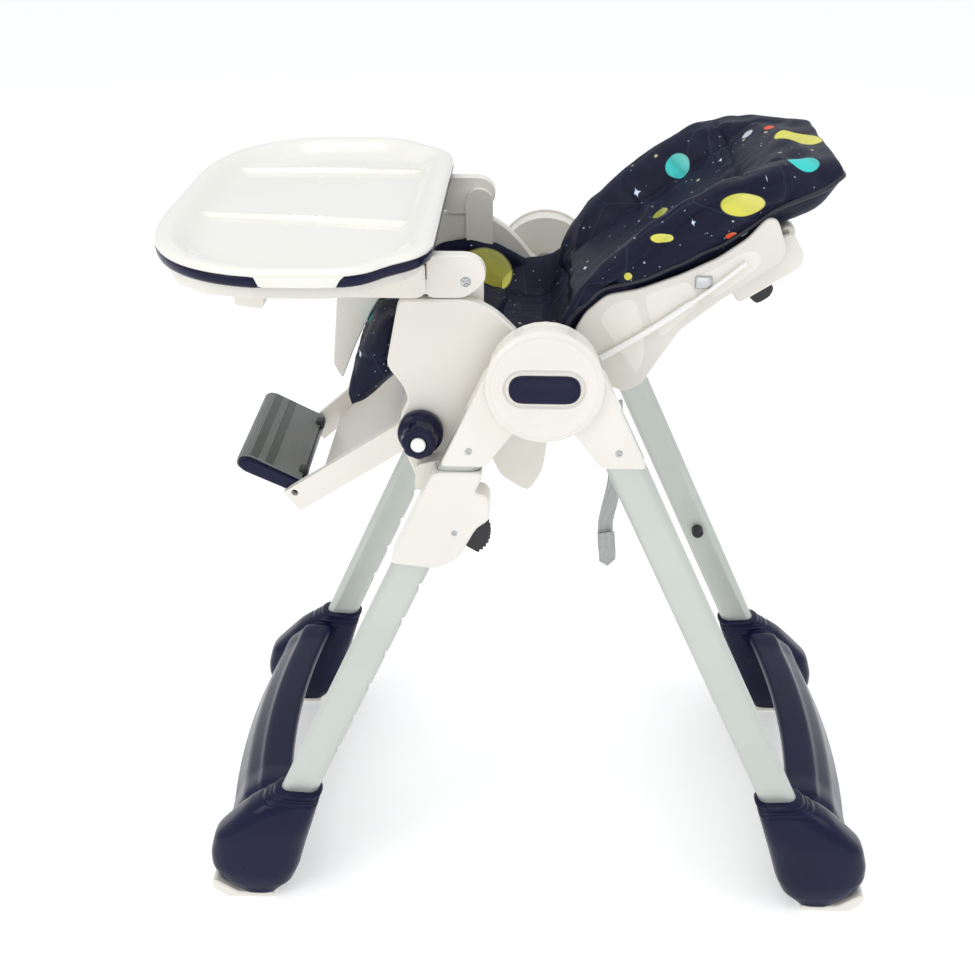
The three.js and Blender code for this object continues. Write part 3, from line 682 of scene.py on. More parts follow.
# ---- Padded cover ----------------------------------------------------------------------------
def puffed(points, faces, cap, held=None, voxel=0.005):
    """A closed shape blown up like a stuffed cover: it is remeshed in even cells, its skin is let
    go as cloth under pressure for a few steps, and no point may move further than cap. held(places)
    gives the share of its own movement that each point keeps."""
    mesh = bpy.data.meshes.new("cover under pressure")
    mesh.from_pydata((points * MM).tolist(), [], faces)
    work = bmesh.new()
    work.from_mesh(mesh)
    bmesh.ops.remove_doubles(work, verts=work.verts, dist=WELD)
    bmesh.ops.recalc_face_normals(work, faces=work.faces)
    work.to_mesh(mesh)
    work.free()
    cover = bpy.data.objects.new("cover under pressure", mesh)
    scene = bpy.context.scene
    scene.collection.objects.link(cover)
    remesh = cover.modifiers.new("even cells", "REMESH")
    remesh.mode = "VOXEL"
    remesh.voxel_size = voxel
    even = bpy.data.meshes.new_from_object(cover.evaluated_get(bpy.context.evaluated_depsgraph_get()))
    cover.modifiers.clear()
    cover.data = even
    start = places_of(even)
    cloth = cover.modifiers.new("pressure", "CLOTH")
    cloth.settings.quality = 4
    cloth.settings.mass = 0.25
    cloth.settings.bending_stiffness = 0.4
    cloth.settings.use_pressure = True
    cloth.settings.uniform_pressure_force = FILL_PRESSURE
    cloth.settings.effector_weights.gravity = 0
    cloth.collision_settings.use_collision = False
    for step in range(1, PRESSURE_STEPS + 1):
        scene.frame_set(step)
    moved = places_of(cover.evaluated_get(bpy.context.evaluated_depsgraph_get()).data) - start
    cover.modifiers.clear()
    scene.frame_set(1)
    reach = np.linalg.norm(moved, axis=1)[:, None]
    moved *= np.minimum(1, cap / np.maximum(reach, 1e-9))
    if held is not None:
        moved *= held(start / MM)[:, None]
    even.vertices.foreach_set("co", (start + moved).astype(np.float32).ravel())
    even.update()
    finer = cover.modifiers.new("finer", "SUBSURF")
    finer.levels = finer.render_levels = 1
    fine = bpy.data.meshes.new_from_object(cover.evaluated_get(bpy.context.evaluated_depsgraph_get()))
    bpy.data.objects.remove(cover)
    return fine


def places_of(mesh):
    """The mesh's points, in metres, as rows of an array."""
    found = np.empty(len(mesh.vertices) * 3, np.float32)
    mesh.vertices.foreach_get("co", found)
    return found.reshape(-1, 3).astype(float)


def add_cover(name, mesh, body, folds=None, replaced=()):
    """Makes a padded piece of a mesh: folds(places in mm) raises its skin along its normals, and
    every point keeps a note of where it lies at rest."""
    mesh.name = name
    mesh.materials.clear()
    mesh.materials.append(FINISHES["seat_fabric"])
    places = places_of(mesh)
    if folds is not None:
        outwards = np.empty(len(mesh.vertices) * 3, np.float32)
        mesh.vertex_normals.foreach_get("vector", outwards)
        places += outwards.reshape(-1, 3) * folds(places / MM)[:, None] * MM
        mesh.vertices.foreach_set("co", places.astype(np.float32).ravel())
    note = mesh.attributes.new("rest_place", "FLOAT_VECTOR", "POINT")
    note.data.foreach_set("vector", places.astype(np.float32).ravel())
    mesh.update()
    mesh.shade_smooth()
    piece = bpy.data.objects.new(name, mesh)
    bpy.context.scene.collection.objects.link(piece)
    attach(piece, body)
    if replaced:
        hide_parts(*replaced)
    return piece


def crumple(places, size, seed):
    """Soft irregular folds about one high: the mean of eight plane waves of about the given
    wavelength, in directions and phases drawn from a seed."""
    draw = np.random.default_rng(seed)
    directions = draw.normal(size=(8, 3))
    directions /= np.linalg.norm(directions, axis=1)[:, None]
    lengths = size * draw.uniform(0.7, 1.5, 8)
    phases = draw.uniform(0, 2 * math.pi, 8)
    waves = np.sin(places @ (directions * (2 * math.pi / lengths)[:, None]).T + phases)
    return waves.sum(axis=1) / 3.2


def back_coordinates(places):
    """(s, t) of points given as (x, y, z), the reverse of back_place."""
    y, z = places[:, 1] - BACK_PIVOT[0], places[:, 2] - BACK_PIVOT[1]
    return (y * math.cos(BACK_SLOPE) + z * math.sin(BACK_SLOPE),
            z * math.cos(BACK_SLOPE) - y * math.sin(BACK_SLOPE))


# Back cover, along u from its crease to its head end: the crest of its wings, the lower edge of
# its wings, the middle of its hollow and its underside, each as (s, t).
WING_CREST = curve([(0, 17, 38), (0.08, 32, 60), (0.2, 74, 80), (0.33, 120, 93), (0.46, 165, 99),
                    (0.6, 212, 102), (0.72, 250, 99), (0.82, 285, 89), (0.9, 318, 74), (0.96, 345, 58),
                    (1, 364, 44)], 0.012)
WING_EDGE = curve([(0, 20, 34), (0.08, 40, 52), (0.2, 84, 62), (0.33, 124, 47), (0.46, 168, 38),
                   (0.6, 210, 32), (0.72, 246, 33), (0.82, 280, 38), (0.9, 312, 32), (0.96, 340, 24),
                   (1, 361, 20)], 0.012)
HOLLOW = curve([(0, 18, 32), (0.08, 34, 38), (0.2, 76, 40), (0.33, 121, 40), (0.46, 166, 38),
                (0.6, 211, 40), (0.72, 247, 48), (0.82, 281, 58), (0.9, 315, 60), (0.96, 343, 52),
                (1, 364, 42)], 0.012)
UNDERSIDE = curve([(0, 20, 21), (0.08, 38, 20), (0.2, 78, 19.5), (0.33, 122, 19), (0.46, 168, 19),
                   (0.6, 210, 19), (0.72, 244, 18), (0.82, 276, 16), (0.9, 310, 10), (0.96, 336, 8),
                   (1, 358, 15)], 0.012)


def back_half_width(u):
    """The back's width draws in at its foot and rounds off like a quarter oval at its head."""
    head = np.sqrt(1 - ramp(u, 0.82, 1.16) ** 2)
    return (1 - 0.03 * (1 - ramp(u, 0, 0.1))) * head


def back_cover_rings(rows=100, columns=104):
    """The back cover as rings across the chair. Each ring runs under the pad, in to the lower edge
    of a wing, up over its crest, down into the hollow and back on the far side; how far it has
    gone from the underside to the crest is read from the four lines above. Towards the head end
    the crests and the hollow draw in."""
    # x, share underside, share edge, share crest, share hollow
    half = [(0, 1, 0, 0, 0), (60, 1, 0, 0, 0), (116, 1, 0, 0, 0), (126, 0.6, 0.4, 0, 0),
            (130, 0.12, 0.88, 0, 0), (141, 0, 1, 0, 0), (142, 0, 0.93, 0.07, 0), (143, 0, 0.6, 0.4, 0),
            (145.5, 0, 0.36, 0.64, 0), (148.5, 0, 0.18, 0.82, 0), (142, 0, 0, 1, 0), (129, 0, 0, 1, 0),
            (119, 0, 0, 0.86, 0.14), (110, 0, 0, 0.56, 0.44), (100, 0, 0, 0.3, 0.7),
            (84, 0, 0, 0.1, 0.9), (50, 0, 0, 0.01, 0.99), (0, 0, 0, 0, 1)]
    loop = half + [(-row[0], *row[1:]) for row in half[-2:0:-1]]
    loop = soften(along(loop, columns, closed=True), 0.7, closed=True)
    u = 1 - np.linspace(1, 0, rows) ** 1.25
    swell = 1 - 0.34 * np.maximum(ramp(u, 0.90, 1.0) ** 1.5, 0.8 * ramp(-u, -0.03, 0) ** 2)
    lines = np.stack([UNDERSIDE(u), WING_EDGE(u), WING_CREST(u), HOLLOW(u)], 1)
    lines = lines.mean(axis=1, keepdims=True) * (1 - swell)[:, None, None] + lines * swell[:, None, None]
    place = np.einsum("ck,rkd->rcd", loop[:, 1:], lines)
    drawn_in = 0.26 * ramp(u, 0.78, 1.0)[:, None] * (loop[:, 3] + loop[:, 4])
    x = loop[:, 0] * back_half_width(u)[:, None] * (1 - drawn_in)
    y, z = back_place(place[..., 0], place[..., 1])
    return np.stack([x, y, z], -1)


def back_held(places):
    """The cover is held down on the shell and along its piped edge."""
    s, t = back_coordinates(places)
    edge = np.interp(s, *WING_EDGE(np.linspace(0, 1, 80)).T)
    piped = bump(t, edge, 6) * ramp(np.abs(places[:, 0]), 116, 132)
    return (0.12 + 0.88 * ramp(t, 19, 30)) * (1 - 0.92 * piped) * (1 - 0.9 * ramp(s, 330, 352))


def back_folds(places):
    """Gathers along the seams inside the wings, a sewn line across under the head pad, a rolled
    rim along each wing, long soft folds on the wings' sides and a slight crumple everywhere."""
    s, t = back_coordinates(places)
    x = np.abs(places[:, 0])
    depth = sizes().gathers / MM
    upper = ramp(t, 24, 40)
    draw = crumple(places, 70, 3)
    crest_s, crest_t = WING_CREST(np.linspace(0, 1, 80)).T
    below = np.interp(s, crest_s, crest_t) - t
    side = ramp(x, 132, 142) * ramp(s, 50, 90) * (1 - ramp(s, 320, 345))
    roll = -3.8 * bump(below, 23 + 5 * np.sin(s / 60), 2.8) * side
    seam = -2.8 * bump(x, 90, 2.4) * ramp(s, 40, 60) * (1 - ramp(s, 300, 330)) * (t < 78)
    across = -3.2 * bump(s, 262 + 0.06 * x, 2.6) * (1 - ramp(x, 118, 136)) * (t > 35)
    wave = np.sin(s * 0.21 + 2.6 * draw + 0.5 * np.sin(s * 0.13))
    gathers = wave * bump(x, 92, 13) * ramp(s, 90, 130) * (1 - ramp(s, 240, 262))
    radial = np.sin(x * 0.24 + 2.0 * draw) * bump(s, 258, 17) * (1 - ramp(x, 100, 122))
    long_folds = np.sin(t * 0.22 + s * 0.03 + 1.6 * draw) * side
    crease = np.sin(x * 0.16 + 2 * draw) * bump(s, 26, 14)
    return upper * (seam + across + roll + depth * (0.42 * gathers + 0.45 * radial + 0.34 * long_folds
                                                    + 0.5 * crease + 0.24 * crumple(places, 38, 8)))


SEAT_TOP = curve([(0, -156, 706), (0.1, -159, 722), (0.25, -150, 733), (0.42, -128, 722),
                  (0.65, -86, 696), (0.86, -44, 682), (1, -36, 676)], 0.02)
SEAT_UNDER = curve([(0, -154, 700), (0.1, -148, 702), (0.25, -136, 699), (0.42, -116, 690),
                    (0.65, -82, 677), (0.86, -50, 665), (1, -42, 662)], 0.02)
PAD_OUT = curve([(0, -164, 722), (0.08, -170, 732), (0.2, -184, 722), (0.4, -200, 692),
                 (0.65, -215, 652), (0.85, -226, 625), (1, -226, 613)], 0.02)
PAD_IN = curve([(0, -163, 716), (0.08, -163, 706), (0.2, -164, 690), (0.4, -166, 670),
                (0.65, -168, 655), (0.85, -190, 638), (1, -217, 613)], 0.02)


def pad_rings(outer, inner, half_width, rows=60, columns=72, pinch=0.04):
    """A closed pad between two side lines: each ring is a flattened oval that reaches from one
    line to the other in the middle and thins towards the sides, and the sides draw in between
    the corners."""
    u = np.linspace(0, 1, rows)
    turn = np.linspace(0, 2 * math.pi, columns, endpoint=False)
    across = np.sign(np.cos(turn)) * np.abs(np.cos(turn)) ** 0.28
    rise = np.sign(np.sin(turn)) * np.abs(np.sin(turn)) ** 0.7
    share = 0.5 + 0.5 * rise
    ends = 0.25 + 0.75 * np.clip(np.sin(math.pi * u), 0, 1) ** 0.4
    middle = (outer(u) + inner(u)) / 2
    span = (outer(u) - inner(u)) * ends[:, None]
    place = middle[:, None] + span[:, None] * (share[None, :, None] - 0.5)
    width = half_width * (1 - pinch * np.sin(math.pi * u))
    x = width[:, None] * across[None, :]
    return np.stack([x, place[..., 0], place[..., 1]], -1)


def wing_rings(outline, centre_x, half_thickness, rows=17):
    """A thin upright pad: its outline is repeated across its thickness and drawn in towards both
    faces along a half circle."""
    turn = np.linspace(-math.pi / 2, math.pi / 2, rows)
    rings = [np.column_stack([np.full(len(outline), centre_x + half_thickness * math.sin(a)),
                              inset(outline, half_thickness * 0.9 * (1 - math.cos(a)))]) for a in turn]
    return np.array(rings)


class HIGHCHAIR_OT_padded_cover(bpy.types.Operator):
    """Makes the padded back, seat, wings, calf pad and the cloth that joins seat to back."""
    bl_idname = "high_chair.padded_cover"
    bl_label = "Padded cover"

    def execute(self, context):
        swell = sizes().swell
        rings = back_cover_rings()
        rows, columns, _ = rings.shape
        mesh = puffed(rings.reshape(-1, 3), closed_faces(rows, columns), swell, back_held)
        back = add_cover("back_cover", mesh, "back", back_folds, ["back_cushion"])

        rings = pad_rings(SEAT_TOP, SEAT_UNDER, 131)
        mesh = puffed(rings.reshape(-1, 3), closed_faces(*rings.shape[:2]), 0.006,
                      lambda p: 0.3 + 0.7 * ramp(p[:, 2] + 0.45 * p[:, 1], 640, 660))
        add_cover("seat_cover", mesh, "seat",
                  lambda p: -2.4 * bump(p[:, 1], -88, 2.2) + 1.1 * crumple(p, 26, 5)
                  + 1.3 * np.sin(p[:, 0] * 0.3 + 2 * crumple(p, 60, 6)) * bump(p[:, 1], -88, 14),
                  ["seat_cushion"])

        rings = pad_rings(PAD_OUT, PAD_IN, 110)
        mesh = puffed(rings.reshape(-1, 3), closed_faces(*rings.shape[:2]), 0.005)
        add_cover("calf_pad", mesh, "seat",
                  lambda p: -2.2 * bump(p[:, 2], 672, 2.0) + 1.2 * crumple(p, 30, 9)
                  + 1.2 * np.sin(p[:, 0] * 0.28 + 2 * crumple(p, 60, 10)) * bump(p[:, 2], 672, 14),
                  ["leg_pad"])

        outline = rounded([[-150, 706], [-153, 722], [-138, 734], [-95, 745], [-60, 738], [-20, 716],
                           [8, 708], [34, 724], [36, 700], [16, 684], [-12, 660], [-60, 656],
                           [-110, 676]], 10, 140)
        for word, side in SIDES:
            rings = wing_rings(outline, side * 144.2, 5.2)
            mesh = puffed(rings.reshape(-1, 3), closed_faces(*rings.shape[:2]), 0.0025, voxel=0.004)
            wing = add_cover(f"seat_wing_{word}", mesh, "seat", lambda p: 0.7 * crumple(p, 24, 12))
            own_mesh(wing)

        self.join_cloth()
        self.piping(back)
        return {"FINISHED"}

    def join_cloth(self):
        """The cloth between seat and back: a trough whose side line sags between the seat pad's
        rear and the foot of the back, and whose sides climb to the wings."""
        rows, columns, thickness = 40, 70, 2.6
        count = rows * columns
        u = np.linspace(0, 1, rows)
        line = curve([(0, -54, 684), (0.12, -42, 684), (0.35, -24, 680), (0.52, -4, 679), (0.7, 9, 688),
                      (0.84, 19, 704), (1, 33, 719)], 0.03)(u)
        v = np.linspace(-1, 1, columns)
        climb = ramp(np.abs(v), 0.72, 1.0)
        x = 146.5 * np.sign(v) * np.abs(v) ** 0.9
        lift = climb[None, :] * (8 + 30 * np.sin(math.pi * u) ** 0.8)[:, None]
        grid_x = np.broadcast_to(x, (rows, columns))
        y = np.broadcast_to(line[:, :1], (rows, columns))
        z = line[:, 1:] + lift
        gather = 1.6 * np.sin(grid_x * 0.24 + y * 0.05) * np.sin(math.pi * u)[:, None] * (1 - climb[None])
        upper = np.stack([grid_x, y, z + gather], -1)
        under = upper - np.array([0, 0, thickness])
        faces_up = grid_faces(rows, columns, wrap=False)
        rim = np.concatenate([np.arange(columns), np.arange(2, rows + 1) * columns - 1,
                              count - 2 - np.arange(columns - 1), np.arange(rows - 2, 0, -1) * columns])
        ahead = np.roll(rim, -1)
        sides = np.stack([rim, ahead, ahead + count, rim + count], 1)
        faces = faces_up.tolist() + (faces_up[:, ::-1] + count).tolist() + sides.tolist()
        piece = add_piece("seat_to_back_cloth", np.concatenate([upper.reshape(-1, 3), under.reshape(-1, 3)]),
                          faces, FINISHES["seat_fabric"], None)
        note = piece.data.attributes.new("rest_place", "FLOAT_VECTOR", "POINT")
        note.data.foreach_set("vector", places_of(piece.data).astype(np.float32).ravel())
        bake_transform(piece)

    def piping(self, cover):
        """Cord sewn along the lower edge of the back cover: up one wing, across the head end and
        down the other wing, each point moved to the nearest point of the cover."""
        radius = sizes().piping / MM
        u = 1 - np.linspace(0.97, 0, 90) ** 1.25
        s, t = WING_EDGE(u).T
        half = np.column_stack([143.0 * back_half_width(u), s + 3 * ramp(u, 0.9, 1.0), t])
        whole = soften(along(np.vstack([half, half[::-1] * (-1, 1, 1)]), 320), 2)
        y, z = back_place(whole[:, 1], whole[:, 2])
        path = np.column_stack([whole[:, 0], y, z])
        skin = places_of(cover.data)[::3] / MM
        nearest = [np.argmin(((skin - point) ** 2).sum(axis=1)) for point in path]
        path = soften(skin[nearest], 3)
        rings = carry(path, circle(radius, 10), (0, -math.sin(BACK_SLOPE), math.cos(BACK_SLOPE)))
        rings_piece("back_piping", rings, FINISHES["piping"], "back", slot="seat_fabric")


# ---- Tray ------------------------------------------------------------------------------------
def bend(start, pull, end, count=14):
    """Points of the curve that leaves start towards pull and arrives at end from it."""
    share = np.linspace(0, 1, count)[:-1, None]
    start, pull, end = (np.asarray(p, float) for p in (start, pull, end))
    return (1 - share) ** 2 * start + 2 * share * (1 - share) * pull + share ** 2 * end


def tray_plan(count=360):
    """The tray's outline in (x, y): a broad front corner, a straight flank that steps in towards
    the child, and the same mirrored."""
    half = np.vstack([[[0, -418]], bend((90, -418), (262, -412), (284, -285)), [[284, -285]],
                      bend((284, -225), (282, -180), (260, -167)),
                      bend((260, -167), (246, -158), (236, -146)),
                      bend((236, -146), (216, -118), (178, -116)), [[178, -116], [0, -116]]])
    mirrored = half[-2:0:-1] * (-1, 1)
    return soften(along(np.vstack([half, mirrored]), count, closed=True), 2, closed=True)


def distance_to(outline, points):
    """Shortest distance from each point to the corners and edges of a closed outline."""
    best = np.full(len(points), np.inf)
    for start, end in zip(outline, np.roll(outline, -1, axis=0)):
        edge = end - start
        share = np.clip((points - start) @ edge / (edge @ edge), 0, 1)
        best = np.minimum(best, np.hypot(*(points - start - share[:, None] * edge).T))
    return best


TRAY_FLOOR, TRAY_CREST, TRAY_EDGE = 821.0, 835.8, 829.6
DIVIDERS = (((46, -400), (80, -150)), ((-148, -404), (-146, -150)))


def tray_height(x, y, edge):
    """Height of the tray's top: up a quarter round from its edge to a broad crest, down an S to the floor,
    plus two dividers whose crests end in the slope."""
    rise = np.sqrt(np.clip(1 - (1 - np.clip(edge / 9, 0, 1)) ** 2, 0, 1))
    rim = TRAY_EDGE + (TRAY_CREST - TRAY_EDGE) * rise
    bowl = (TRAY_CREST - TRAY_FLOOR) * ramp(edge, 13, 46)
    height = rim - bowl
    for (x0, y0), (x1, y1) in DIVIDERS:
        run = math.hypot(x1 - x0, y1 - y0)
        off = ((x - x0) * (y1 - y0) - (y - y0) * (x1 - x0)) / run
        off = off + 3.0 * np.sin(math.pi * (y - y0) / (y1 - y0))
        ridge = 6.0 * (1 - ramp(np.abs(off), 1.2, 7)) * ramp(edge, 10, 34)
        height = np.maximum(height, TRAY_FLOOR + ridge)
    return height


class HIGHCHAIR_OT_tray(bpy.types.Operator):
    """Makes the lift-off tray insert and the navy rim under it."""
    bl_idname = "high_chair.tray"
    bl_label = "Tray"

    def execute(self, context):
        outline = tray_plan()
        middle = np.array([0.0, -268.0])
        reach = 1 - np.linspace(1, 0, 95) ** 1.5
        plan = middle + (outline - middle)[None] * reach[1:, None, None]
        flat = plan.reshape(-1, 2)
        edge = distance_to(outline, flat)
        edge[-len(outline):] = 0
        top = np.column_stack([flat, tray_height(flat[:, 0], flat[:, 1], edge)]).reshape(len(plan), -1, 3)
        under_height = np.where(edge < 22, np.maximum(top[..., 2].ravel() - 3, TRAY_EDGE),
                                np.maximum(top[..., 2].ravel() - 3, 817.8))
        under = np.column_stack([flat, under_height]).reshape(len(plan), -1, 3)
        tab = ramp(-np.abs(outline[:, 1] + 240), -43, -37) * (np.abs(outline[:, 0]) > 200)
        skirt = []
        for out, drop in ((0.9, 0.6), (1.1, 2.0), (1.1, 9.2), (0.4, 10.2), (-0.6, 10.2), (-0.8, 2.0)):
            ring = outline - inward(outline) * (out * tab)[:, None]
            skirt.append(np.column_stack([ring, TRAY_EDGE - drop * tab - 0.05 * drop]))
        rings = np.concatenate([top, np.array(skirt), under[::-1][2:]])
        rings_piece("tray_insert_top", rings, FINISHES["tray_plastic"], "tray_insert",
                    replaced=["tray_insert"], slot="tray_plastic", crease=50)

        inner = []
        for depth, z in ((12, 828.8), (1.8, 828.8), (0.8, 828.2), (0.2, 826.8), (0, 824), (0.3, 821),
                         (1.2, 818.6), (2.8, 817.3), (5, 817.0), (12, 817.0)):
            ring = inset(outline, depth) - inward(outline) * (-1.6 * tab)[:, None]
            inner.append(np.column_stack([ring, np.full(len(ring), z)]))
        band = np.array(inner + inner[:1])
        add_piece("tray_rim_band", band.reshape(-1, 3), grid_faces(len(band), len(outline)).tolist(),
                  FINISHES["navy_plastic"], "tray", ["tray_rim"], crease=50)
        return {"FINISHED"}


def inward(outline):
    """The outline's own inward normals."""
    return inset(outline, 1.0) - outline


# ---- Frame -----------------------------------------------------------------------------------
FOOT_INNER = curve([(0, 264, 152.5), (0.12, 265.5, 143), (0.25, 270, 128), (0.5, 285, 80), (0.7, 296, 42),
                    (0.86, 306, 20), (1, 322, 8.2)], 0.02)
FOOT_OUTER = curve([(0, 317, 156), (0.12, 329, 149), (0.25, 356, 131), (0.5, 399, 88), (0.62, 406, 62),
                    (0.74, 406, 44), (0.86, 397, 24), (1, 372, 8.2)], 0.02)


def foot_rings(end, side):
    """A foot as flattened rings from its socket down to its toe. Each ring spans the two side
    lines; a lip and three narrow grooves run round the socket, and the body swells below."""
    u = np.concatenate([np.linspace(0, 0.24, 49), np.linspace(0.25, 0.9, 34),
                        0.9 + 0.1 * np.sin(np.linspace(0.1, math.pi / 2, 10))])
    inner, outer = FOOT_INNER(u), FOOT_OUTER(u)
    middle, half = (inner + outer) / 2, (outer - inner) / 2
    turn = np.linspace(0, 2 * math.pi, 64, endpoint=False)
    power = 0.72 - 0.05 * ramp(u, 0.2, 0.6)
    cosine = np.sign(np.cos(turn)) * np.abs(np.cos(turn)) ** power[:, None]
    sine = np.sign(np.sin(turn)) * np.abs(np.sin(turn)) ** power[:, None]
    grooves = bump(u, 0.075, 0.009) + bump(u, 0.115, 0.009) + bump(u, 0.16, 0.009)
    lip = 1.6 * bump(u, 0.02, 0.012) - 1.5 * grooves
    width = 21 + 10 * ramp(u, 0.06, 0.42) - 5 * ramp(u, 0.72, 1.0) + lip
    reach = 1 + lip / np.linalg.norm(half, axis=1)
    x = side * (LEG_ACROSS + 1.5 + 1.5 * ramp(u, 0, 0.4))[:, None] + width[:, None] * sine
    y = end * (middle[:, :1] + half[:, :1] * cosine * reach[:, None])
    z = middle[:, 1:] + half[:, 1:] * cosine * reach[:, None]
    return np.stack([x, y, z], -1)


def crossbar_rings(end):
    """The cross moulding as its section carried from foot to foot. It bows out in the middle, and
    near the feet it swells into their flanks. Two raised lines follow its outer edge."""
    section = rounded([[320, 141], [352, 139], [380, 118], [396, 84], [399, 52], [392, 28], [383, 30],
                       [388, 54], [384, 80], [370, 106], [347, 127], [318, 129]], 7, 120)
    outward = -inward(section)
    travel = np.linspace(0, 1, len(section), endpoint=False)
    ridge = 1.3 * (bump(travel, 0.115, 0.010) + bump(travel, 0.335, 0.012)) - 0.7 * bump(travel, 0.225, 0.05)
    shaped = section + outward * ridge[:, None]
    x = np.linspace(-194, 194, 65)
    share = np.abs(x) / 177.6
    bow = -13.5 * share ** 2
    grow = 1 + 0.05 * ramp(share, 0.8, 1.0) - 0.10 * ramp(share, 1.02, 1.09)
    centre = np.array([352.0, 84.0])
    rings = centre + (shaped - centre)[None] * grow[:, None, None]
    rings[..., 0] += bow[:, None]
    rings[..., 0] = np.minimum(rings[..., 0], 399.5)
    return np.stack([np.broadcast_to(x[:, None], rings.shape[:2]), end * rings[..., 0], rings[..., 1]], -1)


def leg_rings(end, side):
    """A flattened oval tube. The front tubes have six saw-like notches down their rear edge, each
    a sharp step with a slow run out."""
    edges = [64.0]
    if end < 0:
        for index in range(6):
            first = 280 + 50 * index
            edges += [first - 0.6, first, first + 4, first + 9, first + 12]
    edges = np.array(edges + [640.0, 655.0])
    depth = np.zeros(len(edges))
    if end < 0:
        inside = np.arange(6) * 5 + 2
        depth[inside] = 4.6
        depth[inside + 1] = 4.2
        depth[inside + 2] = 0.8
    turn = np.linspace(0, 2 * math.pi, 48, endpoint=False)
    forward = 10 * np.sign(np.cos(turn)) * (np.abs(np.cos(turn)) > 1e-9) + 11 * np.cos(turn)
    x = side * LEG_ACROSS + 11 * np.sin(turn)
    rings = []
    for place, cut in zip(edges, depth):
        y, z = leg_place(place, np.maximum(forward, -21 + cut), end)
        rings.append(np.column_stack([x, y, z]))
    return np.array(rings)


def hub_cover_rings(side):
    """A round cover: a bevelled rim, a slight dome, an oval recess line round the button and a
    faint crescent below it, as heights over a fan of circles."""
    radius = np.concatenate([np.linspace(0.5, 57, 70), [58.5, 60, 61, 61.6, 62, 62]])
    turn = np.linspace(0, 2 * math.pi, 144, endpoint=False)
    r, a = np.meshgrid(radius, turn, indexing="ij")
    y, z = r * np.cos(a), r * np.sin(a)
    oval = np.hypot(np.maximum(np.abs(y) - 22, 0), z) - 17.5
    height = 231.6 - 1.3 * (r / 62) ** 2 - 3.2 * ramp(r, 56.5, 62) - 0.9 * bump(r, 56.0, 0.7)
    height -= 1.6 * bump(oval, 1.4, 1.1) - 0.5 * bump(oval, 4.6, 1.0)
    crescent = np.abs(np.hypot(y, z + 2) - 40)
    height -= 0.55 * bump(crescent, 0, 0.8) * (z < -18)
    height[-1] = 220.6
    height[-2] = 226.0
    return np.stack([side * height, y, HUB_HEIGHT + z], -1)


def knob_rings(side):
    """A turning knob: a plain collar, then a grip with eight soft flutes and a rounded nose."""
    profile = np.array([(143.2, 6.6), (143.6, 7), (170, 7), (171, 8), (171.5, 22), (172, 24), (174, 24.8),
                        (184, 24.8), (186, 23.6), (187, 20.8), (188.5, 19.9), (193, 19.9), (196, 19.7),
                        (204, 19.4), (208, 18.8), (210.4, 17.2), (211.6, 14.6), (211.4, 9.6), (210, 8.8),
                        (206, 8.6)])
    turn = np.linspace(0, 2 * math.pi, 96, endpoint=False)
    flute = 0.035 * ramp(profile[:, 0], 187, 192) * (1 - ramp(profile[:, 0], 209.5, 211.5))
    radius = profile[:, 1:] * (1 - flute[:, None] * (0.5 - 0.5 * np.cos(8 * turn)) ** 2 * 2)
    return np.stack([np.broadcast_to(side * profile[:, :1], radius.shape), -134 + radius * np.cos(turn),
                     620 + radius * np.sin(turn)], -1)


def screw(name, x, y, z, side, radius, body):
    """A pan-head screw: a low dome with a cross sunk into it."""
    rows = np.linspace(0.05, 1, 14)
    turn = np.linspace(0, 2 * math.pi, 48, endpoint=False)
    r, a = np.meshgrid(rows * radius, turn, indexing="ij")
    u, v = r * np.cos(a + 0.5), r * np.sin(a + 0.5)
    height = 0.32 * radius * (1 - (r / radius) ** 2) + 0.25
    slot_depth = 0.5 * radius * (1 - ramp(np.minimum(np.abs(u), np.abs(v)) / radius, 0.08, 0.16))
    height -= slot_depth * (1 - ramp(r / radius, 0.5, 0.68))
    rings = np.stack([side * (x + height), y + r * np.cos(a), z + r * np.sin(a)], -1)
    foot = rings[-1:].copy()
    foot[..., 0] = side * (x - 0.2)
    rings_piece(name, np.concatenate([rings, foot]), FINISHES["steel"], body, slot="steel")


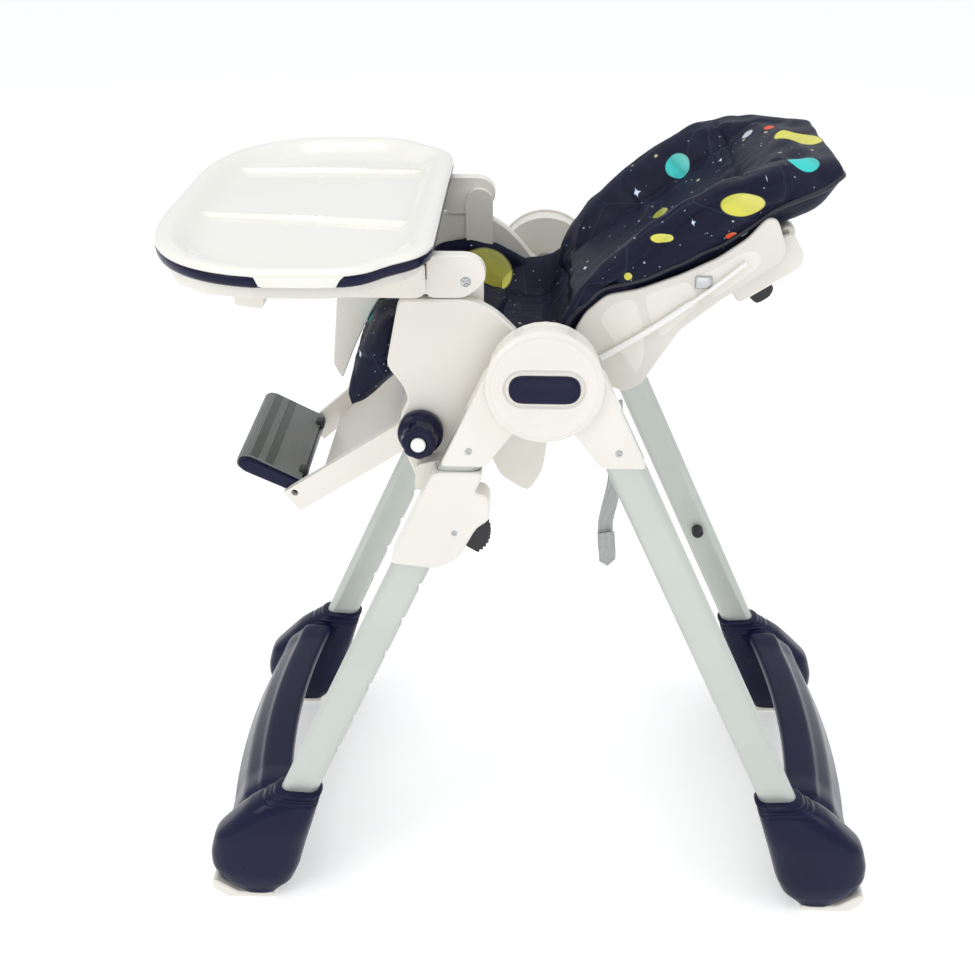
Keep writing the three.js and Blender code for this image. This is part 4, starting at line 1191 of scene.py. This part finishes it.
class HIGHCHAIR_OT_frame(bpy.types.Operator):
    """Makes the legs, feet, cross mouldings, hub covers, buttons and screws."""
    bl_idname = "high_chair.frame"
    bl_label = "Leg frames"

    def execute(self, context):
        navy, cream, silver = (FINISHES[k] for k in ("navy_plastic", "cream_plastic", "silver_tube"))
        for word_end, end in (("front", -1), ("rear", 1)):
            body = f"{word_end}_frame"
            rings_piece(f"{word_end}_cross_moulding", crossbar_rings(end), navy, body,
                        replaced=[f"{word_end}_crossbar"], slot="navy_plastic", crease=60)
            for word, side in SIDES:
                rings_piece(f"{word_end}_boot_{word}", foot_rings(end, side), navy, body,
                            replaced=[f"{word_end}_foot_{word}"], slot="navy_plastic", crease=60)
                rings_piece(f"{word_end}_tube_{word}", leg_rings(end, side), silver, body,
                            replaced=[f"{word_end}_leg_{word}"], slot="silver_tube", crease=28)
                screw(f"{word_end}_bracket_screw_{word}", BRACKET_FACE, end * 80, 617, side, 4.2, body)
                screw(f"{word_end}_boot_screw_{word}", BOOT_FACE, end * 276, 140, side, 3.4, body)
        for word, side in SIDES:
            rings_piece(f"hub_cap_{word}", hub_cover_rings(side), cream, "front_frame",
                        replaced=[f"hub_cover_{word}"], slot="cream_plastic", crease=60)
            oval = along(np.vstack([bend((22, -15.5), (37.5, -15.5), (37.5, 0)),
                                    bend((37.5, 0), (37.5, 15.5), (22, 15.5)),
                                    bend((-22, 15.5), (-37.5, 15.5), (-37.5, 0)),
                                    bend((-37.5, 0), (-37.5, -15.5), (-22, -15.5))]), 120, closed=True)
            oval = soften(oval, 2, closed=True) + (0, HUB_HEIGHT)
            rows = [(0.8, 226.2), (0, 227), (0, 232.6), (0.5, 234.2), (1.8, 235.2), (3.6, 235.6),
                    (5.2, 235.5), (5.9, 234.9), (6.6, 234.9), (8.4, 235.5), (11, 235.9)]
            plate(f"release_button_{word}", oval, rows, navy, f"fold_button_{word}", side,
                  replaced=[f"fold_button_{word}"], slot="navy_plastic", crease=60)
            rings_piece(f"turning_knob_{word}", knob_rings(side), navy, "leg_rest",
                        replaced=[f"leg_rest_knob_{word}"], slot="navy_plastic", crease=50)
            screw(f"arm_screw_{word}", ARM_FACE, -84, 788, side, 5.0, "tray_arms")
            screw(f"sleeve_screw_{word}", SLEEVE_FACE, -96, 520, side, 3.6, "seat")
        return {"FINISHED"}


# ---- Seat mouldings --------------------------------------------------------------------------
def tread_strip(name, line, half_width, height, ridges, finish):
    """A strip laid over the foot rest along a line in (y, z). Its upper skin stands height above
    the line with fine ridges across it, its lower skin lies one millimetre under the line, and
    its two ends are rounded down."""
    ahead = np.gradient(line, axis=0)
    ahead /= np.linalg.norm(ahead, axis=1)[:, None]
    outward = np.column_stack([ahead[:, 1], -ahead[:, 0]])
    ridge = ridges * np.sin(np.arange(len(line)) * 1.9)
    x = np.array([-1, -0.99, -0.98, 0.98, 0.99, 1]) * half_width
    rise = height - np.array([1.2, 0.35, 0, 0, 0.35, 1.2])
    upper = line[None] + outward[None] * (rise[:, None] + ridge[None])[..., None]
    lower = np.broadcast_to((line - outward)[::-1], upper.shape)
    sides = np.concatenate([upper, lower], axis=1)
    rings = np.concatenate([np.broadcast_to(x[:, None, None], (*sides.shape[:2], 1)), sides], axis=2)
    rings_piece(name, rings, finish, "foot_rest", slot="grey_plastic", crease=25)


class HIGHCHAIR_OT_foot_rest(bpy.types.Operator):
    """Makes the foot rest: a glossy navy body with a ribbed tread. The tread's grey is a painted reflection
    of the bright surroundings on the navy plastic, brightened against the shadow under the tray, and two
    darker bands across it are painted shade.
    """
    bl_idname = "high_chair.foot_rest"
    bl_label = "Foot rest"

    def execute(self, context):
        outline = rounded([[-283, 516], [-344, 547.5], [-355, 547], [-359, 537], [-352, 529], [-290, 500],
                           [-281, 506]], 6, 120)
        plate("foot_rest_body", outline, edge_rows(-99, 99, 5.0), FINISHES["navy_plastic"], "foot_rest",
              replaced=["foot_rest"], slot="navy_plastic", crease=50)
        line = soften(along([[-284.5, 517], [-343, 547.2], [-350, 548.4], [-355.5, 546.5], [-359, 538],
                             [-357, 533.5]], 150), 3)
        # The tread's grey is a painted reflection of the bright surroundings on the navy plastic.
        tread_strip("foot_rest_tread_painted_reflection", line, 94, 1.2, 0.22, FINISHES["tread"])
        # Two bands of painted shade across the tread, standing for recessed bands.
        for index, place in enumerate((0.455, 0.655)):
            middle = int(place * len(line))
            tread_strip(f"foot_rest_painted_shade_band_{index + 1}", line[middle - 8:middle + 8], 92.5, 1.7, 0,
                        FINISHES["dark_tread"])
        for index, x_place in enumerate((-70, 70)):
            soft_box_piece(f"foot_rest_clip_{index + 1}", (x_place - 9, -290, 512),
                           (x_place + 9, -279, 523), 3, FINISHES["black_plastic"], "foot_rest",
                           slot="navy_plastic")
        return {"FINISHED"}


# ---- Back shell ------------------------------------------------------------------------------
SHELL_SIDE = [[22, -10], [24, 20], [38, 38], [60, 50], [88, 54], [120, 41], [166, 31], [208, 26], [244, 28],
              [272, 37], [280, 30], [272, -6], [262, -12], [230, -14], [188, -16], [135, -22], [96, -40],
              [68, -54], [46, -52]]
SHELL_LENSES = ([[66, 36], [88, 44], [112, 36], [104, 4], [84, -32], [66, -42]],
                [[120, 34], [150, 27], [172, 22], [168, -8], [130, -15], [112, -20], [112, 6]],
                [[180, 21], [210, 18], [238, 19], [250, 8], [240, -6], [180, -10], [177, 4]])


def on_back(outline):
    """An outline given in the back's own (s, t), as (y, z)."""
    outline = np.asarray(outline, float)
    return np.stack(back_place(outline[:, 0], outline[:, 1]), 1)


class HIGHCHAIR_OT_back_shell(bpy.types.Operator):
    """Makes the back's moulded shell: two side walls with raised panels, a deck and cross ribs."""
    bl_idname = "high_chair.back_shell"
    bl_label = "Back shell"

    def execute(self, context):
        shell = FINISHES["shell_plastic"]
        wall = on_back(rounded(SHELL_SIDE, 8, 200))
        deck = on_back(rounded([[24, 5], [24, 16], [274, 16], [276, 5]], 3, 120))
        plate("back_deck", deck, edge_rows(-132.5, 132.5, 1.2, 2), shell, "back", replaced=["back_shell"],
              slot="cream_plastic")
        for place, reach in ((40, -44), (136, -14), (196, -8)):
            rib = on_back(rounded([[place - 2.5, 4.6], [place - 2.5, reach], [place + 2.5, reach],
                                   [place + 2.5, 4.6]], 2, 60))
            plate(f"back_rib_{place}", rib, edge_rows(-132.5, 132.5, 0.8, 2), shell, "back",
                  slot="cream_plastic")
        for word, side in SIDES:
            plate(f"back_wall_{word}", wall, edge_rows(WALL_INSIDE, WALL_OUTSIDE, 2.4), shell, "back", side,
                  slot="cream_plastic", crease=50)
            for index, lens in enumerate(SHELL_LENSES):
                plate(f"back_panel_{index + 1}_{word}", on_back(rounded(lens, 12, 90)),
                      [(0, 139.5), (0.3, 139.9), (1.4, 140.15), (2.8, 140.3)],
                      FINISHES["cream_plastic"], "back", side, slot="cream_plastic", crease=60)
            knob = back_place(281, 0)
            rings_piece(f"housing_knob_{word}",
                        lathe_rings([(84, 7), (86, 8.5), (104, 8.5), (106, 7), (106.4, 4)], knob, 48)
                        * (side, 1, 1), FINISHES["cream_plastic"], "back", slot="cream_plastic")
            self.rod(word, side)
        return {"FINISHED"}

    def rod(self, word, side):
        """The long white rod from the hub to the recline lever, thinner beyond its coupling."""
        line = soften(along([[47, -2], [90, -3], [128, -2], [186, 2], [230, 8]], 90), 6)
        y, z = back_place(line[:, 0], line[:, 1])
        path = np.column_stack([np.full(len(line), side * 145.2), y, z])
        thin = 1 - 0.34 * ramp(np.linspace(0, 1, len(line)), 0.60, 0.63)
        rings = carry(path, circle(3.4, 16), (1, 0, 0))
        rings = path[:, None] + (rings - path[:, None]) * thin[:, None, None]
        rings_piece(f"recline_rod_cover_{word}", rings, FINISHES["white_plastic"], "back",
                    replaced=[f"recline_rod_{word}"], slot="white_plastic")
        y, z = back_place(182, 12)
        soft_box_piece(f"strap_adjuster_{word}", (side * 140.2 - 3, y - 9, z - 7),
                       (side * 140.2 + 3, y + 9, z + 7), 2, FINISHES["steel"], "back", slot="steel")


# ---- Trim ------------------------------------------------------------------------------------
def ribbon_rings(path, width, thickness, broadside):
    """A flat strap: a rounded oblong carried along a path with its broad side facing along
    broadside, and a slight stitched ridge along both edges."""
    turn = np.linspace(0, 2 * math.pi, 28, endpoint=False)
    flat = np.sign(np.cos(turn)) * np.abs(np.cos(turn)) ** 0.35 * width / 2
    thick = np.sign(np.sin(turn)) * np.abs(np.sin(turn)) ** 0.6 * thickness / 2
    ridge = 1 + 0.5 * bump(np.abs(flat), width / 2 - 1.6, 0.8)
    return carry(path, np.column_stack([flat, thick * ridge]), broadside)


class HIGHCHAIR_OT_trim(bpy.types.Operator):
    """Makes the hanging strap with its folded end and the harness buckle with its press."""
    bl_idname = "high_chair.trim"
    bl_label = "Straps and trim"

    def execute(self, context):
        webbing = FINISHES["grey_webbing"]
        line = soften(along([[37, 84, 600], [37, 87, 560], [36, 89, 520], [36, 89, 495], [35, 84, 465],
                             [34, 79, 439], [34, 79, 415], [34, 81, 396], [35.6, 82, 390], [37.4, 82, 396],
                             [37.4, 80, 416]], 110), 3)
        strap = rings_piece("strap_tail_webbing", ribbon_rings(line, 19, 1.5, (1, 0.15, 0)), webbing, "seat",
                            replaced=["strap_tail"], slot="grey_webbing")
        fold = soften(along([[39.6, 80, 424], [39.6, 82, 404], [38.8, 83, 388], [36, 83, 382],
                             [33, 83, 386], [31.8, 82, 402]], 50), 3)
        end = rings_piece("strap_tail_fold", ribbon_rings(fold, 21, 1.6, (1, 0.15, 0)), webbing, "seat",
                          slot="grey_webbing")
        soft_box_piece("buckle_body", (-22, -126, 736.2), (22, -94, 749), 5, FINISHES["grey_plastic"], "seat",
                       replaced=["harness_buckle"], slot="grey_plastic")
        soft_box_piece("buckle_press", (-8, -116, 747), (8, -104, 751.4), 2, FINISHES["navy_plastic"], "seat",
                       slot="navy_plastic")
        return {"FINISHED"}


STEPS = (HIGHCHAIR_OT_stage, HIGHCHAIR_OT_finishes, HIGHCHAIR_OT_padded_cover, HIGHCHAIR_OT_tray,
         HIGHCHAIR_OT_frame, HIGHCHAIR_OT_foot_rest, HIGHCHAIR_OT_back_shell, HIGHCHAIR_OT_trim)


# ---- Add-on ----------------------------------------------------------------------------------
class HIGHCHAIR_PT_panel(bpy.types.Panel):
    """Lists the chair's settings and the steps that build it."""
    bl_idname = "HIGHCHAIR_PT_panel"
    bl_label = "High Chair"
    bl_space_type = "VIEW_3D"
    bl_region_type = "UI"
    bl_category = "High Chair"

    def draw(self, context):
        for group in (context.scene.high_chair_colours, context.scene.high_chair_sizes,
                      context.scene.high_chair_stage):
            for key in group.bl_rna.properties.keys():
                if key not in ("rna_type", "name"):
                    self.layout.prop(group, key)
        for step in STEPS:
            self.layout.operator(step.bl_idname)


CLASSES = (ChairColours, ChairSizes, StageSettings, *STEPS, HIGHCHAIR_PT_panel)


def register():
    for item in CLASSES:
        bpy.utils.register_class(item)
    bpy.types.Scene.high_chair_colours = bpy.props.PointerProperty(type=ChairColours)
    bpy.types.Scene.high_chair_sizes = bpy.props.PointerProperty(type=ChairSizes)
    bpy.types.Scene.high_chair_stage = bpy.props.PointerProperty(type=StageSettings)


def unregister():
    del bpy.types.Scene.high_chair_colours
    del bpy.types.Scene.high_chair_sizes
    del bpy.types.Scene.high_chair_stage
    for item in reversed(CLASSES):
        bpy.utils.unregister_class(item)


def main():
    register()
    for step in STEPS:
        group, action = step.bl_idname.split(".")
        getattr(getattr(bpy.ops, group), action)()


if __name__ == "__main__":
    main()
